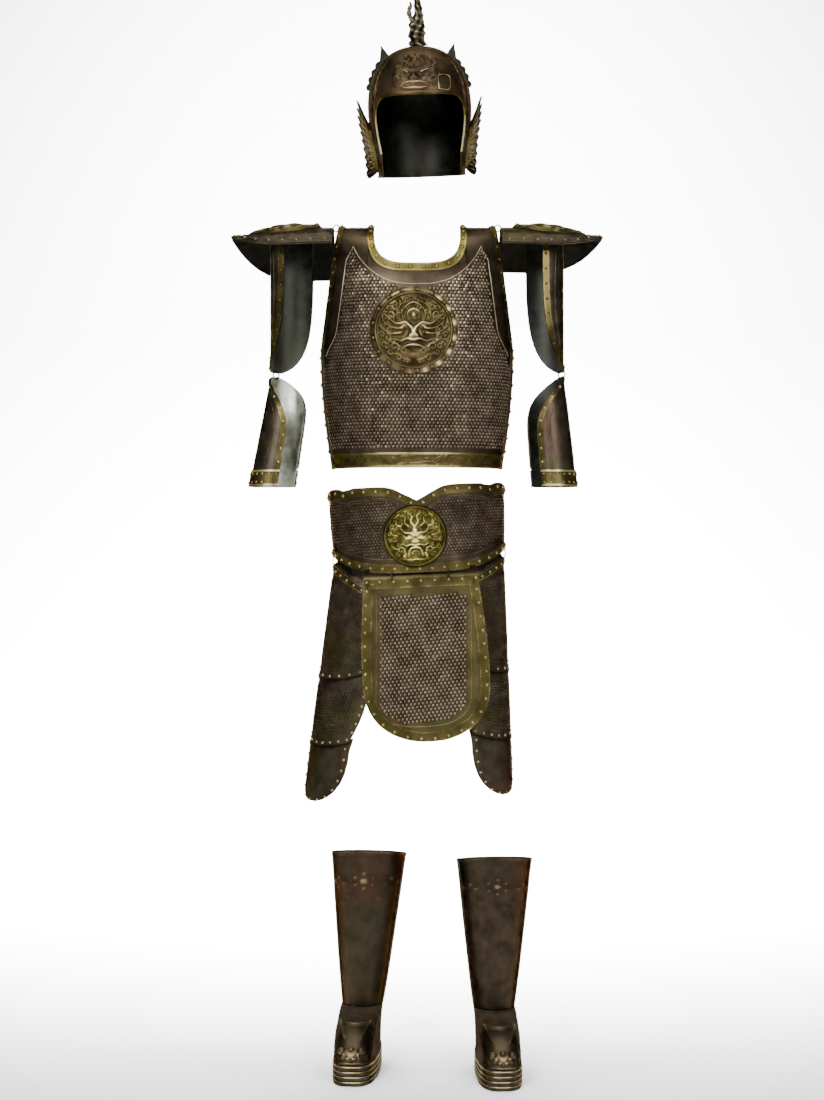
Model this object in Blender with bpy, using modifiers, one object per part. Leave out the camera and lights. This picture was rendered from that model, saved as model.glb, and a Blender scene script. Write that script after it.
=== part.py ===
# Suit of armour in embossed bronze plate, standing empty: helmet, cuirass, pauldrons, arm guards,
# belt, apron, tassets and boots. Metres, +Z up, front towards -Y. The origin is the point between
# the wearer's shoulders. Right and left are the wearer's, so right lies towards -X.

import math

import bmesh
import bpy
from mathutils import Matrix, Vector

SIDES = {"right": -1, "left": 1}

# Sheet and clearances
WALL = 0.0018
BORDER_WALL = 0.0012
GAP = 0.0004
SEAM = 0.0012
BORDER_LIFT = 0.0009
BORDER_WIDTH = 0.013
BORDER_INSET = 0.0008
ARM_BORDER_WIDTH = 0.0115

# Cuirass
HEM_HEIGHT = -0.484
HEM_BAND = 0.030
ARMHOLE_HEIGHT = -0.248
SHOULDER_HALF_WIDTH = 0.157
ARMHOLE_WIDENING = 0.031
ARMHOLE_DEPTH = 0.24
CHEST_HALF_WIDTH = 0.190
HEM_HALF_WIDTH = 0.168
CHEST_DEPTH = 0.130
HEM_DEPTH = 0.118
SHOULDER_ROLL = 0.14
TORSO_POWER = 2.3
NECK_HALF_WIDTH = 0.0835
FRONT_NECK_DROP = 0.0855
BACK_NECK_DROP = 0.046
NECK_POWER = 3.5
NECK_SHARE = 0.46
NECK_COLUMNS = 14
PLATE_COLUMNS = 22
PLATE_ROWS = 10
SEAM_HALF_GAP = 0.0006
CHEST_MEDALLION_PLACE = (-0.0067, -0.2176)
CHEST_MEDALLION_RADIUS = 0.0845
CHEST_MEDALLION_DOME = 0.006

# Helmet, in its own frame with the rim at z = 0
HELMET_PLACE = (0.0096, -0.010, 0.103)
HELMET_ROLL = math.radians(-2.0)
HELMET_PITCH = math.radians(9.0)
HELMET_HEIGHT = 0.252
HELMET_WAIST = 0.130
HELMET_HALF_WIDTH = 0.103
HELMET_RIM_HALF_WIDTH = 0.087
HELMET_DEPTH_RATIO = 1.16
HELMET_POWER = 2.25
FACE_HEIGHT = 0.154
FACE_SIDE_ANGLE = math.radians(58)
CROWN_HOLE = 0.10
MASK_HALF_WIDTH = 0.056
MASK_HEIGHT = 0.074
WING_FEATHERS = 7
FIN_WALL = 0.003
FINIAL_HALF_THICKNESS = 0.0045

# Pauldrons
PAULDRON_INNER = 0.1665
PAULDRON_LENGTH = 0.206
PAULDRON_FRONT = 0.095
PAULDRON_BACK = 0.125
PAULDRON_FRONT_DROOP = 4.7
PAULDRON_BACK_DROOP = {"right": 5.7, "left": 4.6}
PAULDRON_TIP_DROP = 0.020
PAULDRON_RING_X = 0.1612
PAULDRON_RING_Z = -0.0006
CREST_MIDDLE = 0.262
CREST_HALF_LENGTH = 0.068
CREST_HALF_WIDTH = 0.048

# Arm guards
ARM_CENTRE = 0.2465
ARM_RADIUS = 0.047
UPPER_ARM_TOP = {"right": -0.0203, "left": -0.0179}
UPPER_ARM_TIP = -0.290
UPPER_ARM_WRAP = math.radians(106)
UPPER_ARM_TURN = {"right": math.radians(36), "left": math.radians(18)}
FOREARM_TOP = -0.2945
FOREARM_BOTTOM = -0.518
FOREARM_TOP_CENTRE = 0.2465
FOREARM_BOTTOM_CENTRE = {"right": 0.290, "left": 0.274}
FOREARM_TOP_RADIUS = 0.0405
FOREARM_BOTTOM_RADIUS = 0.0458
FOREARM_WRAP = math.radians(143)
CUFF_HEIGHT = 0.033
FOREARM_TIP_LENGTH = 0.120
FOREARM_BORDER_SHARE = 0.835

# Belt and skirt, in the belt's frame
BELT_PLACE = (0.0016, 0.0, -0.600)
BELT_ROLL = math.radians(-2.5)
BELT_TOP = 0.082
BELT_BOTTOM = -0.088
BELT_SIDE_RISE = 0.040
BELT_TOP_HALF_WIDTH = 0.176
BELT_BOTTOM_HALF_WIDTH = 0.170
BELT_DEPTH = 0.122
BELT_POWER = 2.4
BELT_MEDALLION_PLACE = (-0.0062, -0.017)
BELT_MEDALLION_RADIUS = 0.061
BELT_MEDALLION_DOME = 0.009
BELT_STRIP_HEIGHT = 0.130
BELT_TURN_SHARE = 0.9975
APRON_X = 0.001
APRON_DRIFT = 0.012
APRON_RING_X = 0.055
APRON_LENGTH = 0.322
APRON_TOP_HALF_WIDTH = 0.111
APRON_HALF_WIDTH = 0.1245
APRON_CURVE_WIDTH = 0.25
APRON_BORDER_WIDTH = 0.019
TASSET_SPLAY = {"right": math.radians(7.2), "left": math.radians(-3.0)}
TASSET_CENTRE = math.radians(-27)
TASSET_TOP = -0.064
TASSET_TOP_SLOPE = 0.062
TASSET_RING_ANGLE = math.radians(-8)
TASSET_RADIUS = 0.1695
TASSET_DEPTH = 0.101
TASSET_FLARE = 0.050

# Lames of a tasset, top to bottom: heights of the edges' middles, and half angles in degrees there
LAMES = (
    # name, top, bottom, top_wrap, bottom_wrap
    ("upper", -0.064, -0.292, 50, 45),
    ("middle", -0.2972, -0.424, 41, 37),
    ("lower", -0.4292, -0.535, 31, 0),
)
LAME_CURVE = 0.024
LAME_CURVE_ANGLE = math.radians(40)

# Rings
RING_WIRE = 0.0016
RING_SIDES = 8
HOLE_MARGIN = 0.0042
HOLE_RADIUS = 0.0025
RING_RADIUS = {"shoulder": 0.0065, "elbow": 0.0075, "apron": 0.0085, "tasset": 0.0115, "lame": 0.0065}

# Boots, each in a frame with the sole on z = 0 and the ankle at x = y = 0
SOLE_HEIGHT = -1.6655
BOOT_PLACE = {"right": (-0.108, 0.000), "left": (0.152, -0.035)}
BOOT_YAW = {"right": math.radians(-5.5), "left": math.radians(3.0)}
BOOT_LEAN = {"right": 0.012, "left": 0.002}
SOLE_THICKNESS = 0.038
SOLE_LAYERS = 4
FOOT_CENTRE = -0.070
FOOT_HALF_LENGTH = 0.136
FOOT_HALF_WIDTH = 0.0435
FOOT_POWER = 3.2
ANKLE_HEIGHT = 0.120
ANKLE_HALF_WIDTH = 0.041
ANKLE_HALF_DEPTH = 0.052
SHAFT_HEIGHT = {"right": 0.432, "left": 0.424}
SHAFT_BACK_DROP = 0.030
SHAFT_HALF_WIDTH = 0.0765
SHAFT_HALF_DEPTH = 0.080
BOOT_WALL = 0.0022
SOLE_GROOVE = 0.0022
SOLE_LAYER_EDGE = 0.0016


# Scene set-up

def clear_scene():
    for item in list(bpy.data.objects):
        bpy.data.objects.remove(item, do_unlink=True)


def new_collection(name):
    collection = bpy.data.collections.new(name)
    bpy.context.scene.collection.children.link(collection)
    return collection


def new_material(name, colour, metallic, roughness):
    material = bpy.data.materials.new(name)
    material.use_nodes = True
    surface = material.node_tree.nodes["Principled BSDF"]
    surface.inputs["Base Color"].default_value = (*colour, 1.0)
    surface.inputs["Metallic"].default_value = metallic
    surface.inputs["Roughness"].default_value = roughness
    return material


clear_scene()
armour = new_collection("suit_of_armour")
cutters = new_collection("cutters")
bronze = new_material("dark_bronze", (0.10, 0.07, 0.045), 0.85, 0.42)
brass = new_material("aged_brass", (0.30, 0.23, 0.08), 0.9, 0.38)
gilt = new_material("gilt_brass", (0.45, 0.33, 0.10), 0.95, 0.34)
iron = new_material("ring_iron", (0.16, 0.13, 0.09), 0.9, 0.45)
boot_bronze = new_material("boot_bronze", (0.08, 0.055, 0.035), 0.8, 0.4)


def new_empty(name, place, parent=None, turn=(0.0, 0.0, 0.0)):
    empty = bpy.data.objects.new(name, None)
    empty.location = place
    empty.rotation_euler = turn
    empty.parent = parent
    armour.objects.link(empty)
    return empty


# Curves and surfaces shared by several plates

def blend(value):
    value = min(1.0, max(0.0, value))
    return value * value * (3.0 - 2.0 * value)


def arch(ratio, power):
    """Height of a unit superellipse at the given ratio of its half width."""
    return max(0.0, 1.0 - abs(ratio) ** power) ** (1.0 / power)


def signed_power(value, power):
    return math.copysign(abs(value) ** power, value)


def oval(angle, half_width, half_depth, power):
    """Point of a superellipse; angle 0 faces front, a quarter turn faces +X."""
    x = half_width * signed_power(math.sin(angle), 2.0 / power)
    y = -half_depth * signed_power(math.cos(angle), 2.0 / power)
    return x, y


def normal_at(point_at, u, v, inside):
    step = 0.004
    along = point_at(min(1.0, u + step), v) - point_at(max(-1.0, u - step), v)
    across = point_at(u, min(1.0, v + step)) - point_at(u, max(-1.0, v - step))
    normal = along.cross(across).normalized()
    if normal.dot(point_at(u, v) - inside(point_at(u, v))) < 0.0:
        normal.negate()
    return normal


def lifted(point_at, inside, lift):
    """The same surface moved out along its normals; lift is a distance or a function of u, v."""
    def moved(u, v):
        distance = lift(u, v) if callable(lift) else lift
        return point_at(u, v) + normal_at(point_at, u, v, inside) * distance
    return moved


def spine(x=0.0, y=0.0, low=-9.0, high=9.0):
    """Inner reference: the nearest point of a vertical line held between two heights."""
    def inside(point):
        return Vector((x, y, min(high, max(low, point.z))))
    return inside


def sheet(name, material, point_at, size, inside, wall=WALL, out=False, closed=False, parent=None,
          pivot=(0.0, 0.0, 0.0)):
    """Metal sheet over u, v from -1 to 1, grown inward from the surface, or outward with out."""
    columns, rows = size
    mesh_data = bmesh.new()
    bmesh.ops.create_grid(mesh_data, x_segments=columns, y_segments=rows, size=1.0)
    for vertex in mesh_data.verts:
        vertex.co = point_at(vertex.co.x, vertex.co.y)
    if closed:
        bmesh.ops.remove_doubles(mesh_data, verts=mesh_data.verts, dist=0.00001)
    mesh_data.normal_update()
    facing = 0.0
    for face in mesh_data.faces:
        centre = face.calc_center_median()
        facing += face.normal.dot((centre - inside(centre)).normalized()) * face.calc_area()
    if facing < 0.0:
        bmesh.ops.reverse_faces(mesh_data, faces=mesh_data.faces)
    mesh = bpy.data.meshes.new(name)
    mesh_data.to_mesh(mesh)
    mesh_data.free()
    plate = add_object(name, mesh, material, parent, pivot)
    solid = plate.modifiers.new("wall", "SOLIDIFY")
    solid.thickness = wall
    solid.offset = 1.0 if out else -1.0
    solid.use_rim = True
    mesh.shade_smooth()
    mesh.set_sharp_from_angle(angle=math.radians(40))
    return plate


def add_object(name, mesh, material, parent=None, pivot=(0.0, 0.0, 0.0)):
    """Object whose origin is the pivot, a point in its parent's frame."""
    mesh.transform(Matrix.Translation(-Vector(pivot)))
    item = bpy.data.objects.new(name, mesh)
    item.location = pivot
    item.parent = parent
    item.data.materials.append(material)
    armour.objects.link(item)
    return item


def ring(name, radius, centre, turn, parent):
    """Eight-sided wire ring in the plane square to its local Y axis; radius is to its flat sides."""
    half_side = math.pi / RING_SIDES
    bpy.ops.mesh.primitive_torus_add(major_segments=RING_SIDES, minor_segments=4,
                                     major_radius=radius / math.cos(half_side), minor_radius=RING_WIRE)
    item = bpy.context.object
    item.name = name
    item.data.name = name
    item.data.transform(Matrix.Rotation(half_side, 4, "Z"))
    item.data.transform(Matrix.Rotation(math.radians(90), 4, "X"))
    item.data.materials.append(iron)
    for collection in list(item.users_collection):
        collection.objects.unlink(item)
    armour.objects.link(item)
    item.parent = parent
    item.location = centre
    item.rotation_euler = (0.0, 0.0, turn)
    item.data.shade_smooth()
    return item


def drill(plate, centre, direction, parent):
    """Round hole through a plate for a ring; centre and direction are in the parent's frame."""
    bpy.ops.mesh.primitive_cylinder_add(vertices=8, radius=HOLE_RADIUS, depth=0.012)
    cutter = bpy.context.object
    cutter.name = "hole_in_" + plate.name
    for collection in list(cutter.users_collection):
        collection.objects.unlink(cutter)
    cutters.objects.link(cutter)
    cutter.parent = parent
    cutter.location = centre
    cutter.rotation_euler = Vector(direction).to_track_quat("Z", "Y").to_euler()
    cutter.hide_render = True
    cutter.display_type = "WIRE"
    cut = plate.modifiers.new("ring_hole", "BOOLEAN")
    cut.operation = "DIFFERENCE"
    cut.solver = "EXACT"
    cut.object = cutter


# Cuirass

def torso_edge(z):
    """Half width of the plate where the armhole cuts it, and of the side seam below that."""
    if z < ARMHOLE_HEIGHT:
        return torso_width(z)
    return SHOULDER_HALF_WIDTH + ARMHOLE_WIDENING * (abs(z) / ARMHOLE_DEPTH) ** 1.1


def torso_width(z):
    rise = min(1.0, (z - HEM_HEIGHT) / (ARMHOLE_HEIGHT - HEM_HEIGHT))
    return HEM_HALF_WIDTH + (CHEST_HALF_WIDTH - HEM_HALF_WIDTH) * math.sin(math.pi / 2.0 * rise)


def torso_depth(z):
    rise = min(1.0, (z - HEM_HEIGHT) / (ARMHOLE_HEIGHT - HEM_HEIGHT))
    body = HEM_DEPTH + (CHEST_DEPTH - HEM_DEPTH) * math.sin(math.pi / 2.0 * rise)
    roll = 1.0 - min(1.0, max(0.0, -z / SHOULDER_ROLL))
    return body * math.sqrt(max(0.0, 1.0 - roll * roll))


def torso_edge_angle(z):
    ratio = min(1.0, torso_edge(z) / torso_width(z))
    return math.asin(ratio ** (TORSO_POWER / 2.0))


def torso_point(angle, z, front):
    """Point of the chest or back at an angle from its middle; front is 1, the back is -1."""
    x, y = oval(angle, torso_width(z), torso_depth(z), TORSO_POWER)
    return Vector((x, front * (y - SEAM_HALF_GAP), z))


def torso_at(x, z, front):
    ratio = min(1.0, abs(x) / torso_width(z))
    return torso_point(math.copysign(math.asin(ratio ** (TORSO_POWER / 2.0)), x), z, front)


def neck_turn(u):
    """Columns lie closer towards the sides of the neck, where the edge is steep."""
    return math.pi / 2.0 * math.copysign(1.0 - (1.0 - min(1.0, abs(u))) ** 1.9, u)


def plate_share(u):
    neck_part = NECK_COLUMNS / PLATE_COLUMNS
    if abs(u) <= neck_part:
        return NECK_SHARE * signed_power(math.sin(neck_turn(u / neck_part)), 2.0 / NECK_POWER)
    outer = (abs(u) - neck_part) / (1.0 - neck_part)
    return math.copysign(NECK_SHARE + (1.0 - NECK_SHARE) * outer, u)


def torso_surface(front, neck_drop):
    def point_at(u, v):
        share = plate_share(u)
        top = -neck_drop * arch(min(1.0, abs(share) / NECK_SHARE), NECK_POWER)
        rise = 1.0 - (1.0 - (v + 1.0) / 2.0) ** 2.0
        z = HEM_HEIGHT + (top - HEM_HEIGHT) * rise
        return torso_point(share * torso_edge_angle(z), z, front)
    return point_at


torso_inside = spine(low=-0.44, high=-0.14)


def neck_strip(u, v):
    """Strip below the neck edge: u runs round the neck, v across the strip."""
    angle = neck_turn(u)
    half_width = NECK_HALF_WIDTH + 0.001 + BORDER_WIDTH * (1.0 - v) / 2.0
    drop = FRONT_NECK_DROP + 0.001 + 1.2 * BORDER_WIDTH * (1.0 - v) / 2.0
    x = half_width * signed_power(math.sin(angle), 2.0 / NECK_POWER)
    z = -drop * abs(math.cos(angle)) ** (2.0 / NECK_POWER)
    return torso_at(x, min(z, -0.00005), 1)


def side_strip(side):
    """Strip along the armhole and the side seam: v runs up, u across the strip."""
    def point_at(u, v):
        rise = 1.0 - (1.0 - (v + 1.0) / 2.0) ** 2.0
        z = min(-0.00005, max(HEM_HEIGHT + HEM_BAND + 0.0012, HEM_HEIGHT * (1.0 - rise)))
        angle = torso_edge_angle(z)
        reach = math.hypot(torso_width(z) * math.cos(angle), torso_depth(z) * math.sin(angle))
        inset = 0.0012 + BORDER_WIDTH * (u + 1.0) / 2.0
        return torso_point(side * (angle - inset / reach), z, 1)
    return point_at


def hem_strip(u, v):
    z = HEM_HEIGHT + 0.0006 + (HEM_BAND - 0.0006) * (v + 1.0) / 2.0
    return torso_point(plate_share(u) * (torso_edge_angle(z) - 0.008), z, 1)


def disc_share(u, v):
    """Square grid to round disc."""
    return u * math.sqrt(1.0 - v * v / 2.0), v * math.sqrt(1.0 - u * u / 2.0)


# Raised forms on the medallions: place across and up, size, and height, as shares of the radius
FACE_FORMS = (
    # across, up, width, height, raise
    (0.00, 0.62, 0.16, 0.18, 0.10),
    (0.00, -0.02, 0.13, 0.20, 0.13),
    (0.26, 0.16, 0.15, 0.12, 0.10),
    (0.52, 0.30, 0.18, 0.14, 0.07),
    (0.22, -0.24, 0.20, 0.12, 0.08),
    (0.58, -0.12, 0.18, 0.16, 0.06),
    (0.30, -0.56, 0.26, 0.12, 0.06),
)


def face_relief(x, y, radius):
    total = 0.0
    for across, up, width, height, lift in FACE_FORMS:
        for side in (-1, 1):
            reach = ((x - side * across) / width) ** 2 + ((y - up) / height) ** 2
            share = 1.0 if across > 0.0 else 0.5
            total += share * lift * math.exp(-reach)
    fade = blend((1.0 - math.hypot(x, y)) / 0.2)
    return radius * total * fade


def medallion(name, material, base_at, radius, rise, dome, size, inside, parent=None):
    """Domed and embossed disc on a base surface given as a function of across and up in metres."""
    def disc(u, v):
        x, y = disc_share(u, v)
        return base_at(radius * x, radius * y)

    def lift(u, v):
        x, y = disc_share(u, v)
        swell = dome * arch(min(1.0, math.hypot(x, y)), 2.2)
        return rise + swell + face_relief(x, y, radius)
    return sheet(name, material, lifted(disc, inside, lift), size, inside, BORDER_WALL, parent=parent,
                 out=True)


def make_cuirass():
    front = torso_surface(1, FRONT_NECK_DROP)
    back = torso_surface(-1, BACK_NECK_DROP)
    chest = sheet("breastplate", bronze, front, (PLATE_COLUMNS, PLATE_ROWS), torso_inside)
    rear = sheet("backplate", bronze, back, (PLATE_COLUMNS, 8), torso_inside)
    neck = lifted(neck_strip, torso_inside, 1.5 * BORDER_LIFT)
    sheet("neck_border", brass, neck, (2 * NECK_COLUMNS, 1), torso_inside, BORDER_WALL, out=True)
    for name, side in SIDES.items():
        edge = lifted(side_strip(side), torso_inside, 1.7 * BORDER_LIFT)
        sheet("side_border_" + name, brass, edge, (1, 2 * PLATE_ROWS), torso_inside, BORDER_WALL,
              out=True)
    hem = lifted(hem_strip, torso_inside, BORDER_LIFT)
    sheet("hem_band", brass, hem, (PLATE_COLUMNS, 1), torso_inside, BORDER_WALL, out=True)
    across, up = CHEST_MEDALLION_PLACE
    medallion("chest_medallion", brass, lambda x, y: torso_at(across + x, up + y, 1),
              CHEST_MEDALLION_RADIUS, BORDER_LIFT, CHEST_MEDALLION_DOME, (10, 10), torso_inside)
    return chest, rear


# Helmet

def helmet_width(z):
    if z < HELMET_WAIST:
        rise = blend(z / HELMET_WAIST)
        return HELMET_RIM_HALF_WIDTH + (HELMET_HALF_WIDTH - HELMET_RIM_HALF_WIDTH) * rise
    dome = (z - HELMET_WAIST) / (HELMET_HEIGHT - HELMET_WAIST)
    return HELMET_HALF_WIDTH * arch(min(1.0, dome), HELMET_POWER)


def helmet_point(angle, z):
    width = helmet_width(z)
    x, y = oval(angle, width, width * HELMET_DEPTH_RATIO, HELMET_POWER)
    return Vector((x, y, z))


def helmet_angle(x, z):
    return math.asin(min(1.0, abs(x) / helmet_width(z)) ** (HELMET_POWER / 2.0))


def helmet_surface(u, v):
    """u runs all round from the back, v from the rim or the top of the face opening to the crown."""
    face_part = 0.42
    if abs(u) < face_part:
        share = math.sin(math.pi / 2.0 * u / face_part)
        angle = FACE_SIDE_ANGLE * share
    else:
        share = 1.0
        angle = math.copysign(FACE_SIDE_ANGLE + (math.pi - FACE_SIDE_ANGLE) * (abs(u) - face_part)
                              / (1.0 - face_part), u)
    low = FACE_HEIGHT * arch(min(1.0, abs(share)), 6.0)
    top = HELMET_WAIST + (HELMET_HEIGHT - HELMET_WAIST) * arch(CROWN_HOLE, HELMET_POWER)
    rise = (v + 1.0) / 2.0
    if low < HELMET_WAIST:
        climb = 1.0 - (1.0 - rise) ** 1.5
    else:
        climb = 1.0 - (1.0 - rise) ** 1.9
    return helmet_point(angle, low + (top - low) * climb)


helmet_inside = spine(low=0.05, high=0.14)

# Raised forms of the beast's face on the brow, in metres across and above the face opening
BROW_FORMS = (
    # across, up, width, height, raise
    (0.000, 0.058, 0.016, 0.016, 0.010),
    (0.020, 0.046, 0.012, 0.010, 0.012),
    (0.000, 0.032, 0.011, 0.012, 0.015),
    (0.000, 0.012, 0.026, 0.007, 0.010),
    (0.040, 0.040, 0.012, 0.014, 0.007),
    (0.044, 0.062, 0.012, 0.012, 0.006),
)


def make_helmet():
    frame = new_empty("helmet_frame", HELMET_PLACE, turn=(HELMET_PITCH, HELMET_ROLL, 0.0))
    sheet("helmet_skull", bronze, helmet_surface, (24, 9), helmet_inside, closed=True, parent=frame)

    def brow(u, v):
        z = FACE_HEIGHT + 0.006 + MASK_HEIGHT * (v + 1.0) / 2.0
        reach = helmet_angle(MASK_HALF_WIDTH, FACE_HEIGHT)
        return helmet_point(reach * u * (1.0 - 0.25 * blend(v)), z)

    def brow_lift(u, v):
        x = MASK_HALF_WIDTH * u
        y = MASK_HEIGHT * (v + 1.0) / 2.0
        total = 0.0
        for across, up, width, height, lift in BROW_FORMS:
            reach = ((abs(x) - across) / width) ** 2 + ((y - up) / height) ** 2
            total += lift * math.exp(-reach)
        return GAP + 0.0002 + total
    sheet("helmet_beast_mask", bronze, lifted(brow, helmet_inside, brow_lift), (12, 9), helmet_inside,
          BORDER_WALL, out=True, parent=frame)
    for name, side in SIDES.items():
        make_wing(name, side, frame)
        make_fin(name, side, frame)
    make_finial(frame)


def make_wing(name, side, frame):
    """Ear guard: a wing riveted in front of the ear whose feathers lift away from the skull."""
    def wing(u, v):
        tall = (u + 1.0) / 2.0
        out = (v + 1.0) / 2.0
        scallop = 0.84 + 0.16 * abs(math.sin(math.pi * WING_FEATHERS * tall))
        reach = out * scallop
        z = 0.016 + 0.070 * tall + reach * (-0.020 + 0.098 * tall)
        angle = math.radians(66) + reach * math.radians(30 + 14 * math.sin(math.pi * tall))
        point = helmet_point(side * angle, z)
        lift = GAP + 0.00065 + 0.026 * reach ** 1.6
        away = Vector((side * 0.93, 0.25, 0.0)).normalized()
        return point + away * lift
    sheet("helmet_wing_" + name, brass, wing, (14, 4), spine(low=0.0, high=0.2), out=True, parent=frame)


def make_fin(name, side, frame):
    """Scalloped fin standing on the side of the dome."""
    def fin(u, v):
        along = (u + 1.0) / 2.0
        z = 0.168 + 0.068 * along
        height = 0.004 + 0.005 * abs(math.sin(3.0 * math.pi * along)) + 0.019 * along ** 3
        base = helmet_point(side * math.radians(84), z)
        away = Vector((base.x, 0.0, 1.3 * along * abs(base.x))).normalized()
        return base + away * (GAP + (v + 1.0) / 2.0 * height)
    sheet("helmet_fin_" + name, bronze, fin, (12, 1), lambda p: Vector((p.x, 1.0, p.z)), FIN_WALL,
          parent=frame)


# Outline of the finial, a flame-tailed spike with one branch: across and up from the crown
FINIAL_OUTLINE = (
    # across, up
    (0.016, 0.000),
    (0.009, 0.010),
    (0.012, 0.028),
    (0.006, 0.040),
    (0.011, 0.056),
    (0.006, 0.072),
    (0.0075, 0.092),
    (0.002, 0.122),
    (-0.003, 0.096),
    (-0.005, 0.078),
    (-0.009, 0.070),
    (-0.012, 0.084),
    (-0.016, 0.062),
    (-0.010, 0.046),
    (-0.013, 0.030),
    (-0.008, 0.014),
    (-0.016, 0.000),
)


def make_finial(frame):
    curve = bpy.data.curves.new("helmet_finial", "CURVE")
    curve.dimensions = "2D"
    curve.fill_mode = "BOTH"
    curve.extrude = FINIAL_HALF_THICKNESS
    outline = curve.splines.new("POLY")
    outline.points.add(len(FINIAL_OUTLINE) - 1)
    for point, (across, up) in zip(outline.points, FINIAL_OUTLINE):
        point.co = (across, up, 0.0, 1.0)
    outline.use_cyclic_u = True
    curve.materials.append(bronze)
    finial = bpy.data.objects.new("helmet_finial", curve)
    armour.objects.link(finial)
    finial.parent = frame
    crown = HELMET_HEIGHT + GAP
    finial.location = (0.0, 0.0, crown)
    finial.rotation_euler = (math.radians(90), 0.0, 0.0)


# Shoulders and arms

def pauldron_height(x, y):
    """Ridge that falls a little to the tip, with sides that droop as the square of y."""
    along = max(0.0, (abs(x) - PAULDRON_INNER) / PAULDRON_LENGTH)
    back = PAULDRON_BACK_DROOP["right" if x < 0.0 else "left"]
    droop = PAULDRON_FRONT_DROOP if y < 0.0 else back
    return -PAULDRON_TIP_DROP * along ** 2 - droop * y * y


def pauldron_point(side, along, across, inset=0.0):
    """Leaf-shaped plate: along runs 0 to 1 to the tip, across -1 front to 1 back."""
    taper = math.sqrt(max(0.0, 1.0 - along ** 4))
    half = PAULDRON_FRONT if across < 0.0 else PAULDRON_BACK
    x = side * (PAULDRON_INNER + (PAULDRON_LENGTH - inset) * along)
    y = across * (half - inset) * taper
    return Vector((x, y, pauldron_height(x, y)))


def pauldron_inside(point):
    return Vector((point.x, point.y, -1.0))


def make_shoulder(name, side, torso_plates):
    pivot = new_empty("pauldron_pivot_" + name, (side * PAULDRON_RING_X, 0.0, PAULDRON_RING_Z))
    pauldron_pivot = pivot.location

    def leaf(u, v):
        along = (math.sin((u + 1.0) / 2.0 * 1.5)) / math.sin(1.5) * 0.995
        return pauldron_point(side, along, v)

    def rim(u, v):
        angle = u * math.pi / 2.0
        along = math.sqrt(abs(math.cos(angle)))
        half = PAULDRON_FRONT if u < 0.0 else PAULDRON_BACK
        inset = 0.001 + BORDER_WIDTH * (1.0 - v) / 2.0
        x = side * (PAULDRON_INNER + 0.0008 + (PAULDRON_LENGTH - inset - 0.001) * along)
        y = (half - inset) * math.sin(angle)
        return Vector((x, y, pauldron_height(x, y)))

    def crest(u, v):
        x = side * (CREST_MIDDLE + CREST_HALF_LENGTH * u)
        y = CREST_HALF_WIDTH * v * math.sqrt(max(0.05, 1.0 - 0.8 * u * u))
        return Vector((x, y, pauldron_height(x, y)))

    def crest_lift(u, v):
        body = 0.006 * math.exp(-((v - 0.45 * math.sin(4.2 * u)) / 0.30) ** 2)
        crown = 0.004 * math.exp(-((v / 0.7) ** 2)) * (1.0 - u * u)
        return BORDER_LIFT + body + crown
    plate = sheet("pauldron_" + name, bronze, leaf, (9, 8), pauldron_inside, pivot=pauldron_pivot)
    sheet("pauldron_border_" + name, brass, lifted(rim, pauldron_inside, BORDER_LIFT), (22, 1),
          pauldron_inside, BORDER_WALL, out=True, pivot=pauldron_pivot)
    sheet("pauldron_crest_" + name, gilt, lifted(crest, pauldron_inside, crest_lift), (9, 7),
          pauldron_inside, BORDER_WALL, out=True, pivot=pauldron_pivot)
    ring("shoulder_ring_" + name, RING_RADIUS["shoulder"], pauldron_pivot, 0.0, None)
    hole = Vector(pauldron_pivot) + Vector((side * RING_RADIUS["shoulder"], 0.0, 0.0))
    drill(plate, hole, (0.0, 0.0, 1.0), None)
    hole = Vector(pauldron_pivot) - Vector((side * RING_RADIUS["shoulder"], 0.0, 0.0))
    for torso_plate in torso_plates:
        drill(torso_plate, hole, (0.0, 0.0, 1.0), None)


def arm_point(side, turn, angle, z, centre, radius):
    """Point on an arm guard; angle 0 faces outward and grows towards the back."""
    x = side * (centre + radius * math.cos(turn + angle))
    y = radius * math.sin(turn + angle)
    return Vector((x, y, z))


def leaf_edge(u, inset, length, half_width_at):
    """Place on a tongue-shaped plate's rim, down one side, across the tip and up the other."""
    tip_part = 0.16
    if abs(u) < tip_part:
        share = u / tip_part
        along = 1.0
    else:
        share = math.copysign(1.0, u)
        turn = 1.0 - (abs(u) - tip_part) / (1.0 - tip_part)
        along = math.sin(turn * 1.5) / math.sin(1.5)
    along *= 0.995 - inset / length
    return share * (1.0 - inset / max(0.012, half_width_at(along))), along


def upper_arm_wrap(along):
    """Half the angle that the guard covers, from 0 at its top to 1 at its tip."""
    return UPPER_ARM_WRAP * max(0.0, 1.0 - along ** 4) ** 0.4545


def forearm_wrap(along):
    """Half the angle that the guard covers, from 0 at its tip to 1 at the cuff."""
    reach = min(1.0, along * (FOREARM_TOP - FOREARM_BOTTOM) / FOREARM_TIP_LENGTH)
    return FOREARM_WRAP * math.sin(math.pi / 2.0 * reach) ** 0.6


def forearm_point(name, side, angle, along):
    centre = FOREARM_TOP_CENTRE + (FOREARM_BOTTOM_CENTRE[name] - FOREARM_TOP_CENTRE) * along
    radius = FOREARM_TOP_RADIUS + (FOREARM_BOTTOM_RADIUS - FOREARM_TOP_RADIUS) * along
    z = FOREARM_TOP + (FOREARM_BOTTOM - FOREARM_TOP) * along
    point = arm_point(side, UPPER_ARM_TURN[name], angle, z, centre, radius)
    shift = ARM_RADIUS - FOREARM_TOP_RADIUS
    outward = Vector((side * math.cos(UPPER_ARM_TURN[name]), math.sin(UPPER_ARM_TURN[name]), 0.0))
    return point + outward * shift * (1.0 - along)


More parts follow.
